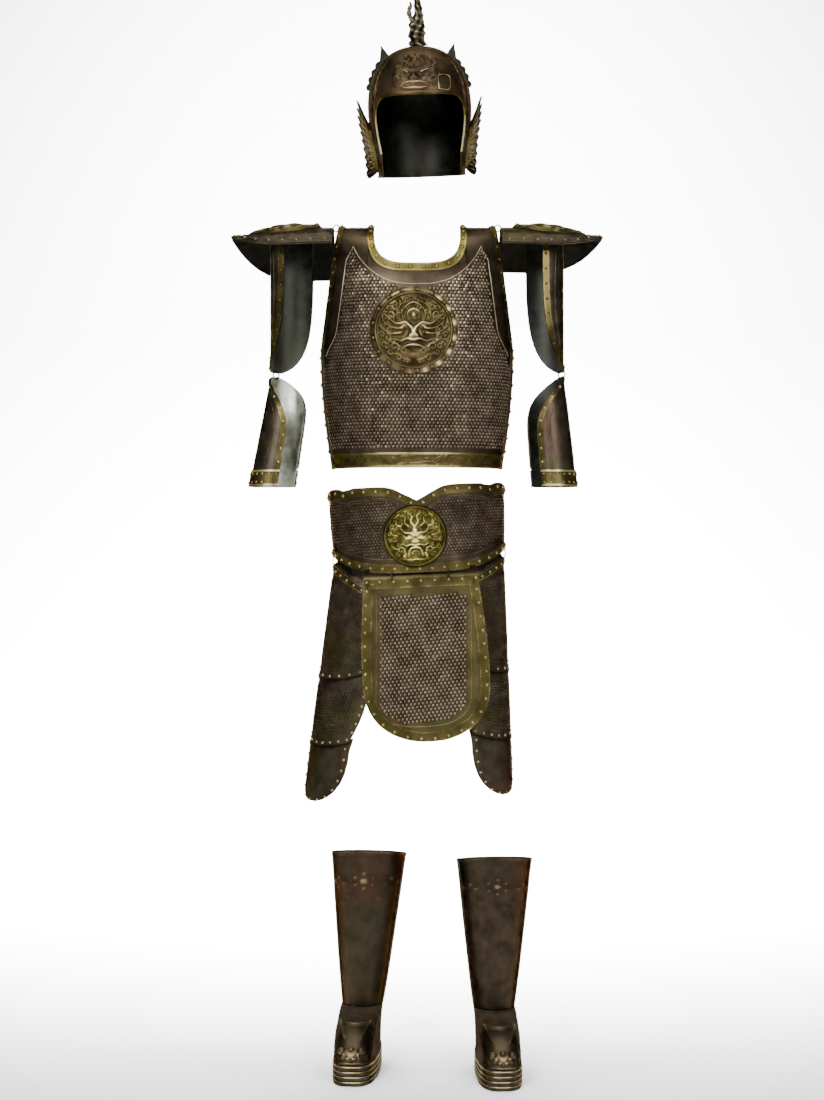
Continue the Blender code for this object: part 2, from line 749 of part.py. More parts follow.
def make_arm(name, side):
    turn = UPPER_ARM_TURN[name]
    top = UPPER_ARM_TOP[name]
    inside = spine(side * ARM_CENTRE, 0.0)

    def upper_at(share, along):
        z = top + (UPPER_ARM_TIP - top) * along
        return arm_point(side, turn, share * upper_arm_wrap(along), z, ARM_CENTRE, ARM_RADIUS)

    def upper(u, v):
        return upper_at(u, math.sin((1.0 - v) / 2.0 * 1.45) / math.sin(1.45) * 0.996)

    def upper_rim(u, v):
        inset = BORDER_INSET + ARM_BORDER_WIDTH * (1.0 - v) / 2.0
        share, along = leaf_edge(u, inset, top - UPPER_ARM_TIP,
                                 lambda place: ARM_RADIUS * upper_arm_wrap(place))
        return upper_at(share, along)
    hang = Vector((side * (ARM_CENTRE + ARM_RADIUS + 0.003), 0.0, top))
    guard = sheet("upper_arm_guard_" + name, bronze, upper, (10, 7), inside, pivot=hang)
    rim = sheet("upper_arm_border_" + name, brass, lifted(upper_rim, inside, BORDER_LIFT), (26, 1),
                inside, BORDER_WALL, out=True, pivot=hang)

    outward = Vector((side * math.cos(turn), math.sin(turn), 0.0))
    tip = upper_at(0.0, 1.0) - outward * WALL / 2.0
    joint = Vector((tip.x, tip.y, (UPPER_ARM_TIP + FOREARM_TOP) / 2.0))
    ring_turn = math.atan2(outward.y, outward.x)
    ring("elbow_ring_" + name, RING_RADIUS["elbow"], joint, ring_turn, None)
    for plate in (guard, rim):
        drill(plate, joint + Vector((0.0, 0.0, RING_RADIUS["elbow"])), outward, None)
    new_empty("elbow_pivot_" + name, joint, turn=(0.0, 0.0, ring_turn))
    new_empty("arm_pivot_" + name, hang)

    def lower(u, v):
        along = 0.004 + 0.996 * ((1.0 - v) / 2.0) ** 1.4
        return forearm_point(name, side, u * forearm_wrap(along), along)

    def lower_rim(u, v):
        inset = BORDER_INSET + ARM_BORDER_WIDTH * (1.0 - v) / 2.0
        share, along = leaf_edge(u, inset, FOREARM_TOP - FOREARM_BOTTOM,
                                 lambda place: ARM_RADIUS * forearm_wrap(1.0 - place))
        down = 1.0 - along - (1.0 - FOREARM_BORDER_SHARE) * (1.0 - along)
        return forearm_point(name, side, share * forearm_wrap(down), down)

    def cuff(u, v):
        along = 0.999 - CUFF_HEIGHT / (FOREARM_TOP - FOREARM_BOTTOM) * (v + 1.0) / 2.0
        return forearm_point(name, side, 0.99 * u * forearm_wrap(along), along)
    low_inside = spine(side * (ARM_CENTRE + 0.012), 0.0)
    forearm = sheet("forearm_guard_" + name, bronze, lower, (12, 6), low_inside, pivot=joint)
    low_rim = sheet("forearm_border_" + name, brass, lifted(lower_rim, low_inside, BORDER_LIFT),
                    (26, 1), low_inside, BORDER_WALL, out=True, pivot=joint)
    for plate in (forearm, low_rim):
        drill(plate, joint - Vector((0.0, 0.0, RING_RADIUS["elbow"])), outward, None)
    sheet("cuff_band_" + name, brass, lifted(cuff, low_inside, BORDER_LIFT), (12, 1), low_inside,
          BORDER_WALL, out=True, pivot=joint)


# Belt and skirt

def belt_top(x):
    dip = 0.029 * math.exp(-(x / 0.034) ** 2)
    notch = 0.006 * math.exp(-((abs(x) - 0.135) / 0.008) ** 2)
    corner = 0.012 * blend((abs(x) - 0.160) / 0.016)
    return BELT_TOP - dip - notch - corner


def belt_bottom(x):
    return BELT_BOTTOM + BELT_SIDE_RISE * (min(1.0, abs(x) / BELT_BOTTOM_HALF_WIDTH)) ** 4


def belt_point(angle, share):
    """Point of the belt; share runs 0 at the lower edge to 1 at the upper one."""
    x, y = oval(angle, BELT_BOTTOM_HALF_WIDTH, BELT_DEPTH, BELT_POWER)
    low = belt_bottom(x)
    high = belt_top(x)
    z = low + (high - low) * share
    rise = (z - BELT_BOTTOM) / (BELT_TOP - BELT_BOTTOM)
    swell = 1.0 + (BELT_TOP_HALF_WIDTH / BELT_BOTTOM_HALF_WIDTH - 1.0) * rise
    return Vector((x * swell, y * swell, z))


def belt_at(x, z):
    angle = math.asin(min(1.0, abs(x) / BELT_BOTTOM_HALF_WIDTH) ** (BELT_POWER / 2.0))
    share = (z - belt_bottom(x)) / (belt_top(x) - belt_bottom(x))
    return belt_point(math.copysign(angle, x), share)


belt_inside = spine(low=-0.05, high=0.05)


def make_belt(frame):
    def band(u, v):
        return belt_point(u * math.pi * BELT_TURN_SHARE, (v + 1.0) / 2.0)

    def strip(low_side):
        def point_at(u, v):
            angle = u * math.pi * BELT_TURN_SHARE
            width = (0.0006 + BORDER_WIDTH * (v + 1.0) / 2.0) / BELT_STRIP_HEIGHT
            return belt_point(angle, width if low_side else 1.0 - width)
        return point_at
    plate = sheet("belt", bronze, band, (32, 3), belt_inside, parent=frame)
    borders = {}
    for name, low_side in (("lower", True), ("upper", False)):
        edge = lifted(strip(low_side), belt_inside, BORDER_LIFT)
        borders[name] = sheet("belt_border_" + name, brass, edge, (32, 1), belt_inside, BORDER_WALL,
                              out=True, parent=frame)
    across, up = BELT_MEDALLION_PLACE
    medallion("belt_medallion", gilt, lambda x, y: belt_at(across + x, up + y),
              BELT_MEDALLION_RADIUS, BORDER_LIFT + BORDER_WALL + GAP + 0.0004, BELT_MEDALLION_DOME, (8, 8),
              belt_inside, parent=frame)
    return plate, borders


def make_apron(frame, belt_plates):
    """Front plate hung on two rings; it curves less than the belt, so it clears the tassets."""
    radius = RING_RADIUS["apron"]
    joint_y = belt_at(APRON_RING_X, BELT_BOTTOM + HOLE_MARGIN).y + WALL / 2.0
    joint_z = belt_bottom(APRON_RING_X) + HOLE_MARGIN - radius
    hang = new_empty("apron_pivot", (0.0, joint_y, joint_z), frame)
    top = HOLE_MARGIN - radius

    def width(along):
        grown = APRON_HALF_WIDTH - APRON_TOP_HALF_WIDTH
        side = APRON_TOP_HALF_WIDTH + grown * math.sin(math.pi / 2.0 * min(1.0, along / 0.6))
        round_off = max(0.0, (along - 0.6) / 0.4)
        return side * math.sqrt(max(0.0, 1.0 - round_off ** 2.8))

    def sag(x):
        return BELT_DEPTH * (1.0 - arch(abs(x) / APRON_CURVE_WIDTH, 2.4))

    def apron_at(share, along):
        drop = APRON_LENGTH * along
        x = APRON_X + share * width(along) + APRON_DRIFT * drop
        y = sag(x) - sag(APRON_RING_X) - WALL / 2.0
        return Vector((x, y, top - drop))

    def panel(u, v):
        return apron_at(u, math.sin((1.0 - v) / 2.0 * 1.5) / math.sin(1.5) * 0.995)

    def frame_strip(u, v):
        """Closed strip round the panel's outline, u once round."""
        inset = BORDER_INSET + APRON_BORDER_WIDTH * (1.0 - v) / 2.0
        turn = (u + 1.0) * 2.0
        if turn < 1.0:
            share, along = 1.0 - 2.0 * turn, 0.0
        elif turn < 2.0:
            share, along = -1.0, math.sin((turn - 1.0) * 1.5) / math.sin(1.5)
        elif turn < 3.0:
            share, along = -1.0 + 2.0 * (turn - 2.0), 1.0
        else:
            share, along = 1.0, math.sin((4.0 - turn) * 1.5) / math.sin(1.5)
        low = inset / APRON_LENGTH
        place = low + (0.995 - 2.0 * low) * along
        return apron_at(share * (1.0 - inset / max(0.03, width(place))), place)

    def inside(point):
        return Vector((point.x, 1.0, point.z))
    plate = sheet("apron", bronze, panel, (8, 9), inside, parent=hang)
    edge = sheet("apron_border", brass, lifted(frame_strip, inside, BORDER_LIFT), (32, 1), inside,
                 BORDER_WALL, out=True, closed=True, parent=hang)
    for name, side in SIDES.items():
        centre = Vector((side * APRON_RING_X, joint_y, joint_z))
        ring("apron_ring_" + name, radius, centre, math.radians(90), frame)
        for item in belt_plates:
            drill(item, centre + Vector((0.0, 0.0, radius)), (0.0, 1.0, 0.0), frame)
        for item in (plate, edge):
            drill(item, centre - Vector((0.0, 0.0, radius)), (0.0, 1.0, 0.0), frame)


def tasset_point(side, angle, z):
    """Point of the hip plate; angle 0 faces outward, negative angles the front."""
    drop = max(0.0, TASSET_TOP - z)
    x = side * (TASSET_RADIUS + TASSET_FLARE * drop) * signed_power(math.cos(angle), 0.9)
    y = TASSET_DEPTH * signed_power(math.sin(angle), 0.9)
    return Vector((x, y, z))


def lame_edges(index, angle):
    """Heights of a lame's upper and lower edges at an angle round the hip."""
    _, top, bottom, _, bottom_wrap = LAMES[index]
    curve = LAME_CURVE * ((angle - TASSET_CENTRE) / LAME_CURVE_ANGLE) ** 2
    high = top + curve if index > 0 else top - TASSET_TOP_SLOPE * math.sin(angle) ** 2
    low = bottom + curve if bottom_wrap > 0.0 else bottom
    return high, low


def make_tasset(name, side, frame, belt_plates):
    outward = Vector((side * math.cos(TASSET_RING_ANGLE), math.sin(TASSET_RING_ANGLE), 0.0))
    above_edge = belt_bottom(BELT_BOTTOM_HALF_WIDTH * math.cos(TASSET_RING_ANGLE))
    above_plates = belt_plates
    parent = frame
    parent_place = Vector((0.0, 0.0, 0.0))
    for index, (lame, _, _, top_wrap, bottom_wrap) in enumerate(LAMES):
        radius = RING_RADIUS["tasset"] if index == 0 else RING_RADIUS["lame"]
        own_edge = lame_edges(index, TASSET_RING_ANGLE)[0]
        joint = tasset_point(side, TASSET_RING_ANGLE, own_edge) - outward * WALL / 2.0
        joint.z = (above_edge + own_edge) / 2.0
        splay = TASSET_SPLAY[name] * -side if index == 0 else 0.0
        local = joint - parent_place
        pivot = new_empty("tasset_" + lame + "_pivot_" + name, local, parent, (0.0, splay, 0.0))

        def lame_surface(u, v, index=index, top_wrap=top_wrap, bottom_wrap=bottom_wrap, joint=joint):
            along = (1.0 - v) / 2.0
            if bottom_wrap > 0.0:
                angle = TASSET_CENTRE + u * math.radians(top_wrap + (bottom_wrap - top_wrap) * along)
            else:
                along = math.sin(along * 1.5) / math.sin(1.5) * 0.995
                angle = TASSET_CENTRE + u * math.radians(top_wrap) * math.sqrt(1.0 - along ** 3)
            edges = lame_edges(index, angle)
            return tasset_point(side, angle, edges[0] + (edges[1] - edges[0]) * along) - joint

        def inside(point, joint=joint):
            return Vector((-joint.x, -joint.y, point.z))
        rows = 4 if index == 0 else 3
        plate = sheet("tasset_" + lame + "_" + name, bronze, lame_surface, (7, rows), inside,
                      parent=pivot)
        ring_turn = math.atan2(outward.y, outward.x)
        ring("tasset_ring_" + lame + "_" + name, radius, local, ring_turn, parent)
        for item in above_plates:
            drill(item, local + Vector((0.0, 0.0, radius)), outward, parent)
        drill(plate, Vector((0.0, 0.0, -radius)), outward, pivot)
        above_edge = lame_edges(index, TASSET_RING_ANGLE)[1]
        above_plates = (plate,)
        parent = pivot
        parent_place = joint


# Boots

def sole_outline(angle, inset=0.0):
    """Plan of the sole; angle 0 faces the toe."""
    x, y = oval(angle, FOOT_HALF_WIDTH - inset, FOOT_HALF_LENGTH - inset, FOOT_POWER)
    heel = blend((y + 0.02) / 0.14)
    return Vector((x * (1.0 - 0.14 * heel), FOOT_CENTRE + y, 0.0))


def boot_section(angle, height, top, lean):
    """Section of the leg between ankle and top; angle 0 faces front."""
    rise = (height - ANKLE_HEIGHT) / (top - ANKLE_HEIGHT)
    grow = rise ** 0.9 if rise > 0.0 else 0.0
    width = ANKLE_HALF_WIDTH + (SHAFT_HALF_WIDTH - ANKLE_HALF_WIDTH) * grow
    depth = ANKLE_HALF_DEPTH + (SHAFT_HALF_DEPTH - ANKLE_HALF_DEPTH) * grow
    x, y = oval(angle, width, depth, 2.2)
    return Vector((x + lean * rise, y + 0.012 * rise, height))


def make_boot(name):
    x, y = BOOT_PLACE[name]
    frame = new_empty("boot_frame_" + name, (x, y, SOLE_HEIGHT), turn=(0.0, 0.0, BOOT_YAW[name]))
    lean = BOOT_LEAN[name]
    tall = SHAFT_HEIGHT[name]

    def leg(u, v):
        angle = u * math.pi
        rise = (v + 1.0) / 2.0
        top = tall - SHAFT_BACK_DROP * (1.0 - math.cos(angle)) / 2.0
        low = ANKLE_HEIGHT + SEAM / 2.0
        return boot_section(angle, low + (top - low) * rise, tall, lean)

    def foot(u, v):
        angle = u * math.pi
        climb = (v + 1.0) / 2.0 * math.pi / 2.0
        low = sole_outline(angle, 0.002)
        high = boot_section(angle, ANKLE_HEIGHT, tall, lean)
        spread = math.cos(climb) ** 1.1
        height = math.sin(climb) ** 1.1
        z = SOLE_THICKNESS + SEAM + (ANKLE_HEIGHT - SOLE_THICKNESS - 1.5 * SEAM) * height
        eyes = 0.010 * math.exp(-((abs(low.x) - 0.020) / 0.010) ** 2 - ((climb - 0.62) / 0.22) ** 2)
        nose = 0.008 * math.exp(-(low.x / 0.010) ** 2 - ((climb - 0.42) / 0.16) ** 2)
        front = blend((math.cos(angle) - 0.2) / 0.6)
        point = high.lerp(low, spread)
        return Vector((point.x, point.y - (eyes + nose) * front * 0.6, z + (eyes + nose) * front))
    inside = spine(0.0, -0.03, low=0.05, high=0.5)
    sheet("boot_shaft_" + name, boot_bronze, leg, (16, 4), inside, BOOT_WALL, closed=True, parent=frame)
    sheet("boot_foot_" + name, boot_bronze, foot, (22, 6), inside, BOOT_WALL, closed=True, parent=frame)
    make_sole(name, frame)


def make_sole(name, frame):
    """Stacked sole: one solid, its layers parted by shallow grooves."""
    columns = 22
    layer = SOLE_THICKNESS / SOLE_LAYERS
    rings = []
    for index in range(SOLE_LAYERS):
        base = index * layer
        rings.append((base + (0.0 if index == 0 else SOLE_LAYER_EDGE), 0.0))
        rings.append((base + layer - SOLE_LAYER_EDGE, 0.0))
        if index < SOLE_LAYERS - 1:
            rings.append((base + layer, SOLE_GROOVE))
    rings.append((SOLE_THICKNESS, 0.0012))
    solid = bmesh.new()
    levels = []
    for height, inset in rings:
        level = []
        for step in range(columns):
            point = sole_outline(step / columns * math.tau, inset)
            level.append(solid.verts.new((point.x, point.y, height)))
        levels.append(level)
    for low, high in zip(levels, levels[1:]):
        for step in range(columns):
            after = (step + 1) % columns
            solid.faces.new((low[step], low[after], high[after], high[step]))
    solid.faces.new(list(reversed(levels[0])))
    solid.faces.new(levels[-1])
    bmesh.ops.recalc_face_normals(solid, faces=solid.faces)
    mesh = bpy.data.meshes.new("boot_sole_" + name)
    solid.to_mesh(mesh)
    solid.free()
    mesh.shade_smooth()
    mesh.set_sharp_from_angle(angle=math.radians(35))
    add_object("boot_sole_" + name, mesh, brass, frame)


plates = make_cuirass()
make_helmet()
belt_frame = new_empty("belt_frame", BELT_PLACE, turn=(0.0, BELT_ROLL, 0.0))
belt_plate, belt_borders = make_belt(belt_frame)
hung_from = (belt_plate, belt_borders["lower"])
make_apron(belt_frame, hung_from)
for side_name, side_sign in SIDES.items():
    make_shoulder(side_name, side_sign, plates)
    make_arm(side_name, side_sign)
    make_tasset(side_name, side_sign, belt_frame, hung_from)
    make_boot(side_name)
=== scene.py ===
# A suit of armour in embossed bronze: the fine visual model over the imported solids.
import math
import bpy
import numpy as np
from mathutils import Matrix, Vector


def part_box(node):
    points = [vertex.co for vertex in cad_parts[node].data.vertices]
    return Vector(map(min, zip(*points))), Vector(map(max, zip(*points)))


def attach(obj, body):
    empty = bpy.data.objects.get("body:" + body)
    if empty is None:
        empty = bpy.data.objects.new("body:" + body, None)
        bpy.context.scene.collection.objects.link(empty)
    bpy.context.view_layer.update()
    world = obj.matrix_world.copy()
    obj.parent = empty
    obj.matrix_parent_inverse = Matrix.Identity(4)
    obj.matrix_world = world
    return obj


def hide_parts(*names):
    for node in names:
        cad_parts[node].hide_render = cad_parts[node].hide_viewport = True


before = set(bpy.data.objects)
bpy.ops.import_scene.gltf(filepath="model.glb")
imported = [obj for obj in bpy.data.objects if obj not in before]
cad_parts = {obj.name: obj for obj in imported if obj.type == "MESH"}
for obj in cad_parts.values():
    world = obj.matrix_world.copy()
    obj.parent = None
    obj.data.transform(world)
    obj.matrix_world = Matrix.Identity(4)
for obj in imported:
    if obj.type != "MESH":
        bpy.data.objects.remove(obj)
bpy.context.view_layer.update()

sides = {"right": -1.0, "left": 1.0}

# Lengths are in metres and turns in degrees. The settings repeat the solids' sizes.
plateWall, borderWall = 0.0018, 0.0012


# Arrays and curves
def blend(value):
    # 3v^2 - 2v^3 between 0 and 1
    value = np.clip(value, 0.0, 1.0)
    return value * value * (3.0 - 2.0 * value)


def arch(ratio, power):
    # (1 - |r|^p)^(1/p)
    return np.maximum(0.0, 1.0 - np.abs(ratio) ** power) ** (1.0 / power)


def signedPower(value, power):
    # sign(v) |v|^p
    return np.sign(value) * np.abs(value) ** power


def oval(angle, half, depth, power):
    # x = half sin^(2/p), y = -depth cos^(2/p), signs kept
    return (half * signedPower(np.sin(angle), 2.0 / power),
            -depth * signedPower(np.cos(angle), 2.0 / power))


def stack(x, y, z):
    x, y, z = np.broadcast_arrays(x, y, z)
    return np.stack([x, y, z], axis=-1).astype(float)


def bump(x, y, across, up, wide, tall):
    # exp(-(dx/w)^2 - (dy/h)^2)
    return np.exp(-((x - across) / wide) ** 2 - ((y - up) / tall) ** 2)


def square(rows, columns):
    # v down the rows and u along the columns, each from -1 to 1
    v, u = np.meshgrid(np.linspace(-1.0, 1.0, rows), np.linspace(-1.0, 1.0, columns), indexing="ij")
    return u, v


def towardEnd(share):
    # sin(1.5 s) / sin(1.5), so that equal steps close up towards the end
    return np.sin(share * 1.5) / math.sin(1.5)


def unit(vectors):
    return vectors / np.maximum(1e-12, np.linalg.norm(vectors, axis=-1, keepdims=True))


def gridNormals(points, inside, wrap=False):
    # cross product of the two differences along the grid, turned away from the inside
    if wrap:
        along = np.roll(points, -1, axis=1) - np.roll(points, 1, axis=1)
    else:
        along = np.gradient(points, axis=1)
    normals = unit(np.cross(along, np.gradient(points, axis=0)))
    flip = np.sum(normals * (points - inside(points)), axis=-1).sum() < 0.0
    return -normals if flip else normals


def spine(x, y, low, high):
    # nearest point of an upright line
    def inside(points):
        return stack(x, y, np.clip(points[..., 2], low, high))
    return inside


def evenly(curve, pitch, start=0.0, closed=False):
    # indices, with fractions, at equal steps of arc length along a line of points
    lengths = np.concatenate([[0.0], np.cumsum(np.linalg.norm(np.diff(curve, axis=0), axis=1))])
    usable = lengths[-1] - 2.0 * start
    count = max(1, int(round(usable / pitch)))
    stops = start + usable * (np.arange(count) / count if closed else np.arange(count + 1) / count)
    return np.interp(stops, lengths, np.arange(len(curve)))


def pick(rows, places):
    # rows of an array at fractional indices
    low = np.minimum(places.astype(int), len(rows) - 2)
    share = (places - low)[:, None]
    return rows[low] * (1.0 - share) + rows[low + 1] * share


# Meshes
collection = bpy.data.collections.new("armour_visual")
bpy.context.scene.collection.children.link(collection)


class Build:
    # collects arrays of points and faces, each with its material number, into one object
    def __init__(self):
        self.points, self.quads, self.triangles, self.levels = [], [], [], []
        self.count = 0

    def add(self, points, quads=None, triangles=None, material=0, smooth=True, high=0.5):
        points = np.asarray(points, dtype=float).reshape(-1, 3)
        level = np.asarray(high, dtype=float).reshape(-1)
        self.levels.append(level if len(level) == len(points) else np.full(len(points), level[0]))
        for faces, store in ((quads, self.quads), (triangles, self.triangles)):
            if faces is not None and len(faces):
                store.append((np.asarray(faces) + self.count, material, smooth))
        self.points.append(points)
        self.count += len(points)

    def finish(self, node, finishes, body, slot, place=None):
        # the piece stands for the node, in its frame where one is given
        name = "visual_" + node
        points = np.concatenate(self.points)
        if place is not None:
            points = points @ place[:3, :3].T + place[:3, 3]
        loops, sizes, kinds, soft = [], [], [], []
        for store, corners in ((self.quads, 4), (self.triangles, 3)):
            for faces, material, smooth in store:
                loops.append(faces.reshape(-1))
                sizes.append(np.full(len(faces), corners))
                kinds.append(np.full(len(faces), material))
                soft.append(np.full(len(faces), smooth))
        loops, sizes = np.concatenate(loops), np.concatenate(sizes)
        mesh = bpy.data.meshes.new(name)
        mesh.vertices.add(len(points))
        mesh.vertices.foreach_set("co", points.astype(np.float32).reshape(-1))
        mesh.loops.add(len(loops))
        mesh.loops.foreach_set("vertex_index", loops.astype(np.int32))
        mesh.polygons.add(len(sizes))
        starts = np.concatenate([[0], np.cumsum(sizes)[:-1]])
        mesh.polygons.foreach_set("loop_start", starts.astype(np.int32))
        mesh.polygons.foreach_set("material_index", np.concatenate(kinds).astype(np.int32))
        mesh.polygons.foreach_set("use_smooth", np.concatenate(soft))
        mesh.update(calc_edges=True)
        mesh.validate()
        # level for the shader: low values paint shade into hollows, high ones paint highlights and glints
        # together with wear
        level = mesh.attributes.new("high", "FLOAT", "POINT")
        level.data.foreach_set("value", np.concatenate(self.levels).astype(np.float32))
        for finish in finishes.split():
            mesh.materials.append(metal[finish])
        piece = bpy.data.objects.new(name, mesh)
        collection.objects.link(piece)
        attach(piece, body)
        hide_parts(node)
        print("made", name, len(sizes), "faces")


def gridQuads(rows, columns, wrap=False, flip=False):
    # (r, c) (r, c+1) (r+1, c+1) (r+1, c)
    index = np.arange(rows * columns).reshape(rows, columns)
    after = np.roll(index, -1, axis=1) if wrap else index[:, 1:]
    first = index if wrap else index[:, :-1]
    quads = np.stack([first[:-1], after[:-1], after[1:], first[1:]], axis=-1).reshape(-1, 4)
    return quads[:, ::-1] if flip else quads


def facing(points, normals, quads):
    # true where the first quad's own normal agrees with the given one
    middle = quads[len(quads) // 2]
    flat = points.reshape(-1, 3)
    own = np.cross(flat[middle[2]] - flat[middle[0]], flat[middle[3]] - flat[middle[1]])
    return np.dot(own, normals.reshape(-1, 3)[middle[0]]) > 0.0


def addShell(build, points, normals, wall, material=0, inner=None, wrap=False, high=0.5, coarse=5):
    # outer face, a face moved in by the wall on a grid up to coarse times wider, and the edges
    # between them: fans from each point of the wide grid, and a triangle on to its next point
    rows, columns = points.shape[:2]
    step = max(k for k in range(1, coarse + 1)
               if (rows - 1) % k == 0 and (columns - (0 if wrap else 1)) % k == 0)
    low = (points - normals * np.broadcast_to(wall, (rows, columns))[..., None])[::step, ::step]
    quads, lowQuads = gridQuads(rows, columns, wrap), gridQuads(*low.shape[:2], wrap)
    if facing(points, normals, quads):
        lowQuads = lowQuads[:, ::-1]
    else:
        quads = quads[:, ::-1]
    build.add(points, quads, material=material, high=high)
    build.add(low, lowQuads, material=material if inner is None else inner)
    edges = [(points[0], low[0], points[1]), (points[-1], low[-1], points[-2])]
    if not wrap:
        edges += [(points[:, 0], low[:, 0], points[:, 1]), (points[:, -1], low[:, -1], points[:, -2])]
    for number, (top, bottom, beside) in enumerate(edges):
        loop = wrap and number < 2
        fine, wide = len(top), len(bottom)
        along = np.arange(fine if loop else fine - 1)
        turn = np.arange(wide if loop else wide - 1)
        fans = np.stack([along, (along + 1) % fine, fine + along // step], axis=-1)
        links = np.stack([(turn + 1) * step % fine, fine + (turn + 1) % wide, fine + turn], axis=-1)
        faces = np.concatenate([fans, links])
        test = np.cross(top[1] - top[0], bottom[0] - top[0])
        if np.dot(test, top[0] - beside[0]) < 0.0:
            faces = faces[:, ::-1]
        build.add(np.concatenate([top, bottom]), None, faces, material, smooth=False)


def frames(paths, normals):
    # tangent and side vectors along a line on a surface
    tangents = unit(np.gradient(paths, axis=0))
    return tangents, unit(np.cross(tangents, normals))


def addTube(build, path, normals, radius, material=0, segments=8, closed=False, high=0.8):
    # circle r(cos t side + sin t normal) carried along the path
    if closed:
        tangents = unit(np.roll(path, -1, axis=0) - np.roll(path, 1, axis=0))
        sideways = unit(np.cross(tangents, normals))
    else:
        tangents, sideways = frames(path, normals)
    upward = unit(np.cross(sideways, tangents))
    turn = np.linspace(0.0, math.tau, segments, endpoint=False)
    radius = np.broadcast_to(radius, len(path))[:, None, None]
    circle = (sideways[:, None] * np.cos(turn)[None, :, None]
              + upward[:, None] * np.sin(turn)[None, :, None]) * radius
    points = path[:, None] + circle
    if closed:
        points = np.concatenate([points, points[:1]])
    quads = gridQuads(len(points), segments, True)
    middle = quads[0]
    flat = points.reshape(-1, 3)
    own = np.cross(flat[middle[1]] - flat[middle[0]], flat[middle[3]] - flat[middle[0]])
    if np.dot(own, flat[middle[0]] - path[0]) < 0.0:
        quads = quads[:, ::-1]
    build.add(points, quads, material=material, high=high)
    if not closed:
        for end, at in ((0, 0), (len(path) - 1, (len(path) - 1) * segments)):
            index = np.arange(segments) + at
            cap = np.stack([index, np.roll(index, -1), np.full(segments, len(flat))], axis=-1)
            away = tangents[end] * (-1.0 if end == 0 else 1.0)
            own = np.cross(flat[cap[0, 1]] - flat[cap[0, 0]], path[end] - flat[cap[0, 0]])
            cap = cap if np.dot(own, away) > 0.0 else cap[:, ::-1]
            build.add(np.concatenate([flat, path[end:end + 1]]), None, cap, material)


def addCopies(build, shape, faces, places, across, up, out, size, material=0, smooth=True,
              high=0.5):
    # place + size (x across + y up + z out) for each copy of a small shape
    size = np.broadcast_to(size, len(places)).astype(float)[:, None, None]
    points = (across[:, None] * shape[None, :, 0:1] + up[:, None] * shape[None, :, 1:2]
              + out[:, None] * shape[None, :, 2:3]) * size + places[:, None]
    steps = (np.arange(len(places)) * len(shape))[:, None, None]
    level = np.broadcast_to(high, (len(places), len(shape)))
    build.add(points, None, (faces[None] + steps).reshape(-1, 3), material, smooth, level)


def basis(normals, upward=(0.0, 0.0, 1.0)):
    # two vectors in the surface, the second one nearest to upward
    across = unit(np.cross(np.broadcast_to(upward, normals.shape), normals))
    return across, unit(np.cross(normals, across))


def domeShape(segments=10, rings=3):
    # half ball of radius 1 with its rim a little below the surface
    lift = np.linspace(-0.12, 0.5 * math.pi, rings + 2)[:-1]
    turn = np.linspace(0.0, math.tau, segments, endpoint=False)
    points = stack(np.cos(lift)[:, None] * np.cos(turn), np.cos(lift)[:, None] * np.sin(turn),
                   0.8 * np.sin(lift)[:, None] + 0.0 * turn).reshape(-1, 3)
    points = np.concatenate([points, [[0.0, 0.0, 0.8]]])
    quads = gridQuads(rings + 1, segments, True)
    last = np.arange(segments) + rings * segments
    cap = np.stack([last, np.roll(last, -1), np.full(segments, len(points) - 1)], axis=-1)
    return points, np.concatenate([quads[:, [0, 1, 2]], quads[:, [0, 2, 3]], cap])


rivetShape = domeShape()

# One embossed scale: a flat-topped lump with a rounded foot that stands off the plate
scalePoints = np.array([
    # across, up, out: square top, rounded foot
    (-0.46, 0.46, -0.05), (0.46, 0.46, -0.05), (-0.47, -0.22, 0.40), (0.47, -0.22, 0.40),
    (-0.32, 0.14, 1.00), (0.32, 0.14, 0.95), (-0.30, -0.42, 0.78), (0.30, -0.42, 0.78),
    (-0.48, -0.34, -0.20), (-0.24, -0.56, -0.20), (0.24, -0.56, -0.20), (0.48, -0.34, -0.20)])
scaleFaces = np.array([(0, 4, 5), (0, 5, 1), (0, 2, 4), (1, 5, 3), (4, 2, 6), (4, 6, 7), (4, 7, 5),
                       (5, 7, 3), (2, 8, 9), (2, 9, 6), (6, 9, 10), (6, 10, 7), (7, 10, 11),
                       (7, 11, 3)])
# painted light on each scale: its raised tip lighter, wear and painted highlight in one; its upper left
# lighter than its lower right as a painted highlight; its foot at 0, painted shade between the scales
scaleGlintAndShade = np.array([0.26, 0.08, 0.62, 0.26, 1.0, 0.62, 0.80, 0.44, 0.0, 0.0, 0.0, 0.0])


def addRivets(build, places, normals, radius, material=0, high=0.80):
    across, up = basis(normals, (0.0, 0.05, 1.0))
    # painted light: the dome takes the given level, up to a painted highlight, and the ring at its foot is
    # painted darker as shade
    level = np.where(rivetShape[0][:, 2] < 0.1, 0.25, high)
    addCopies(build, rivetShape[0], rivetShape[1], places, across, up, normals, radius, material,
              True, level)


def addScales(build, surfaceAt, a, b, inside, size, steps=(0.001, 0.001), glint=1.0, tilt=None,
              material=0):
    # one scale at each place, with its across and up taken from the surface itself
    wide, tall, high = size
    places, normals = onSurface(surfaceAt, a, b, inside, steps)
    uneven = np.random.default_rng(len(a)).normal(0.0, 0.07, (2, len(a), 1))
    across, up = basis(normals)
    normals = unit(normals + across * uneven[0] + up * uneven[1])
    across, up = basis(normals)
    if tilt is not None:
        across, up = (across * math.cos(tilt) + up * math.sin(tilt),
                      up * math.cos(tilt) - across * math.sin(tilt))
    shape = scalePoints * np.array([wide * 1.02, tall * 1.12, high])
    addCopies(build, shape, scaleFaces, places, across, up, normals, 1.0, material, False,
              scaleGlintAndShade * glint)


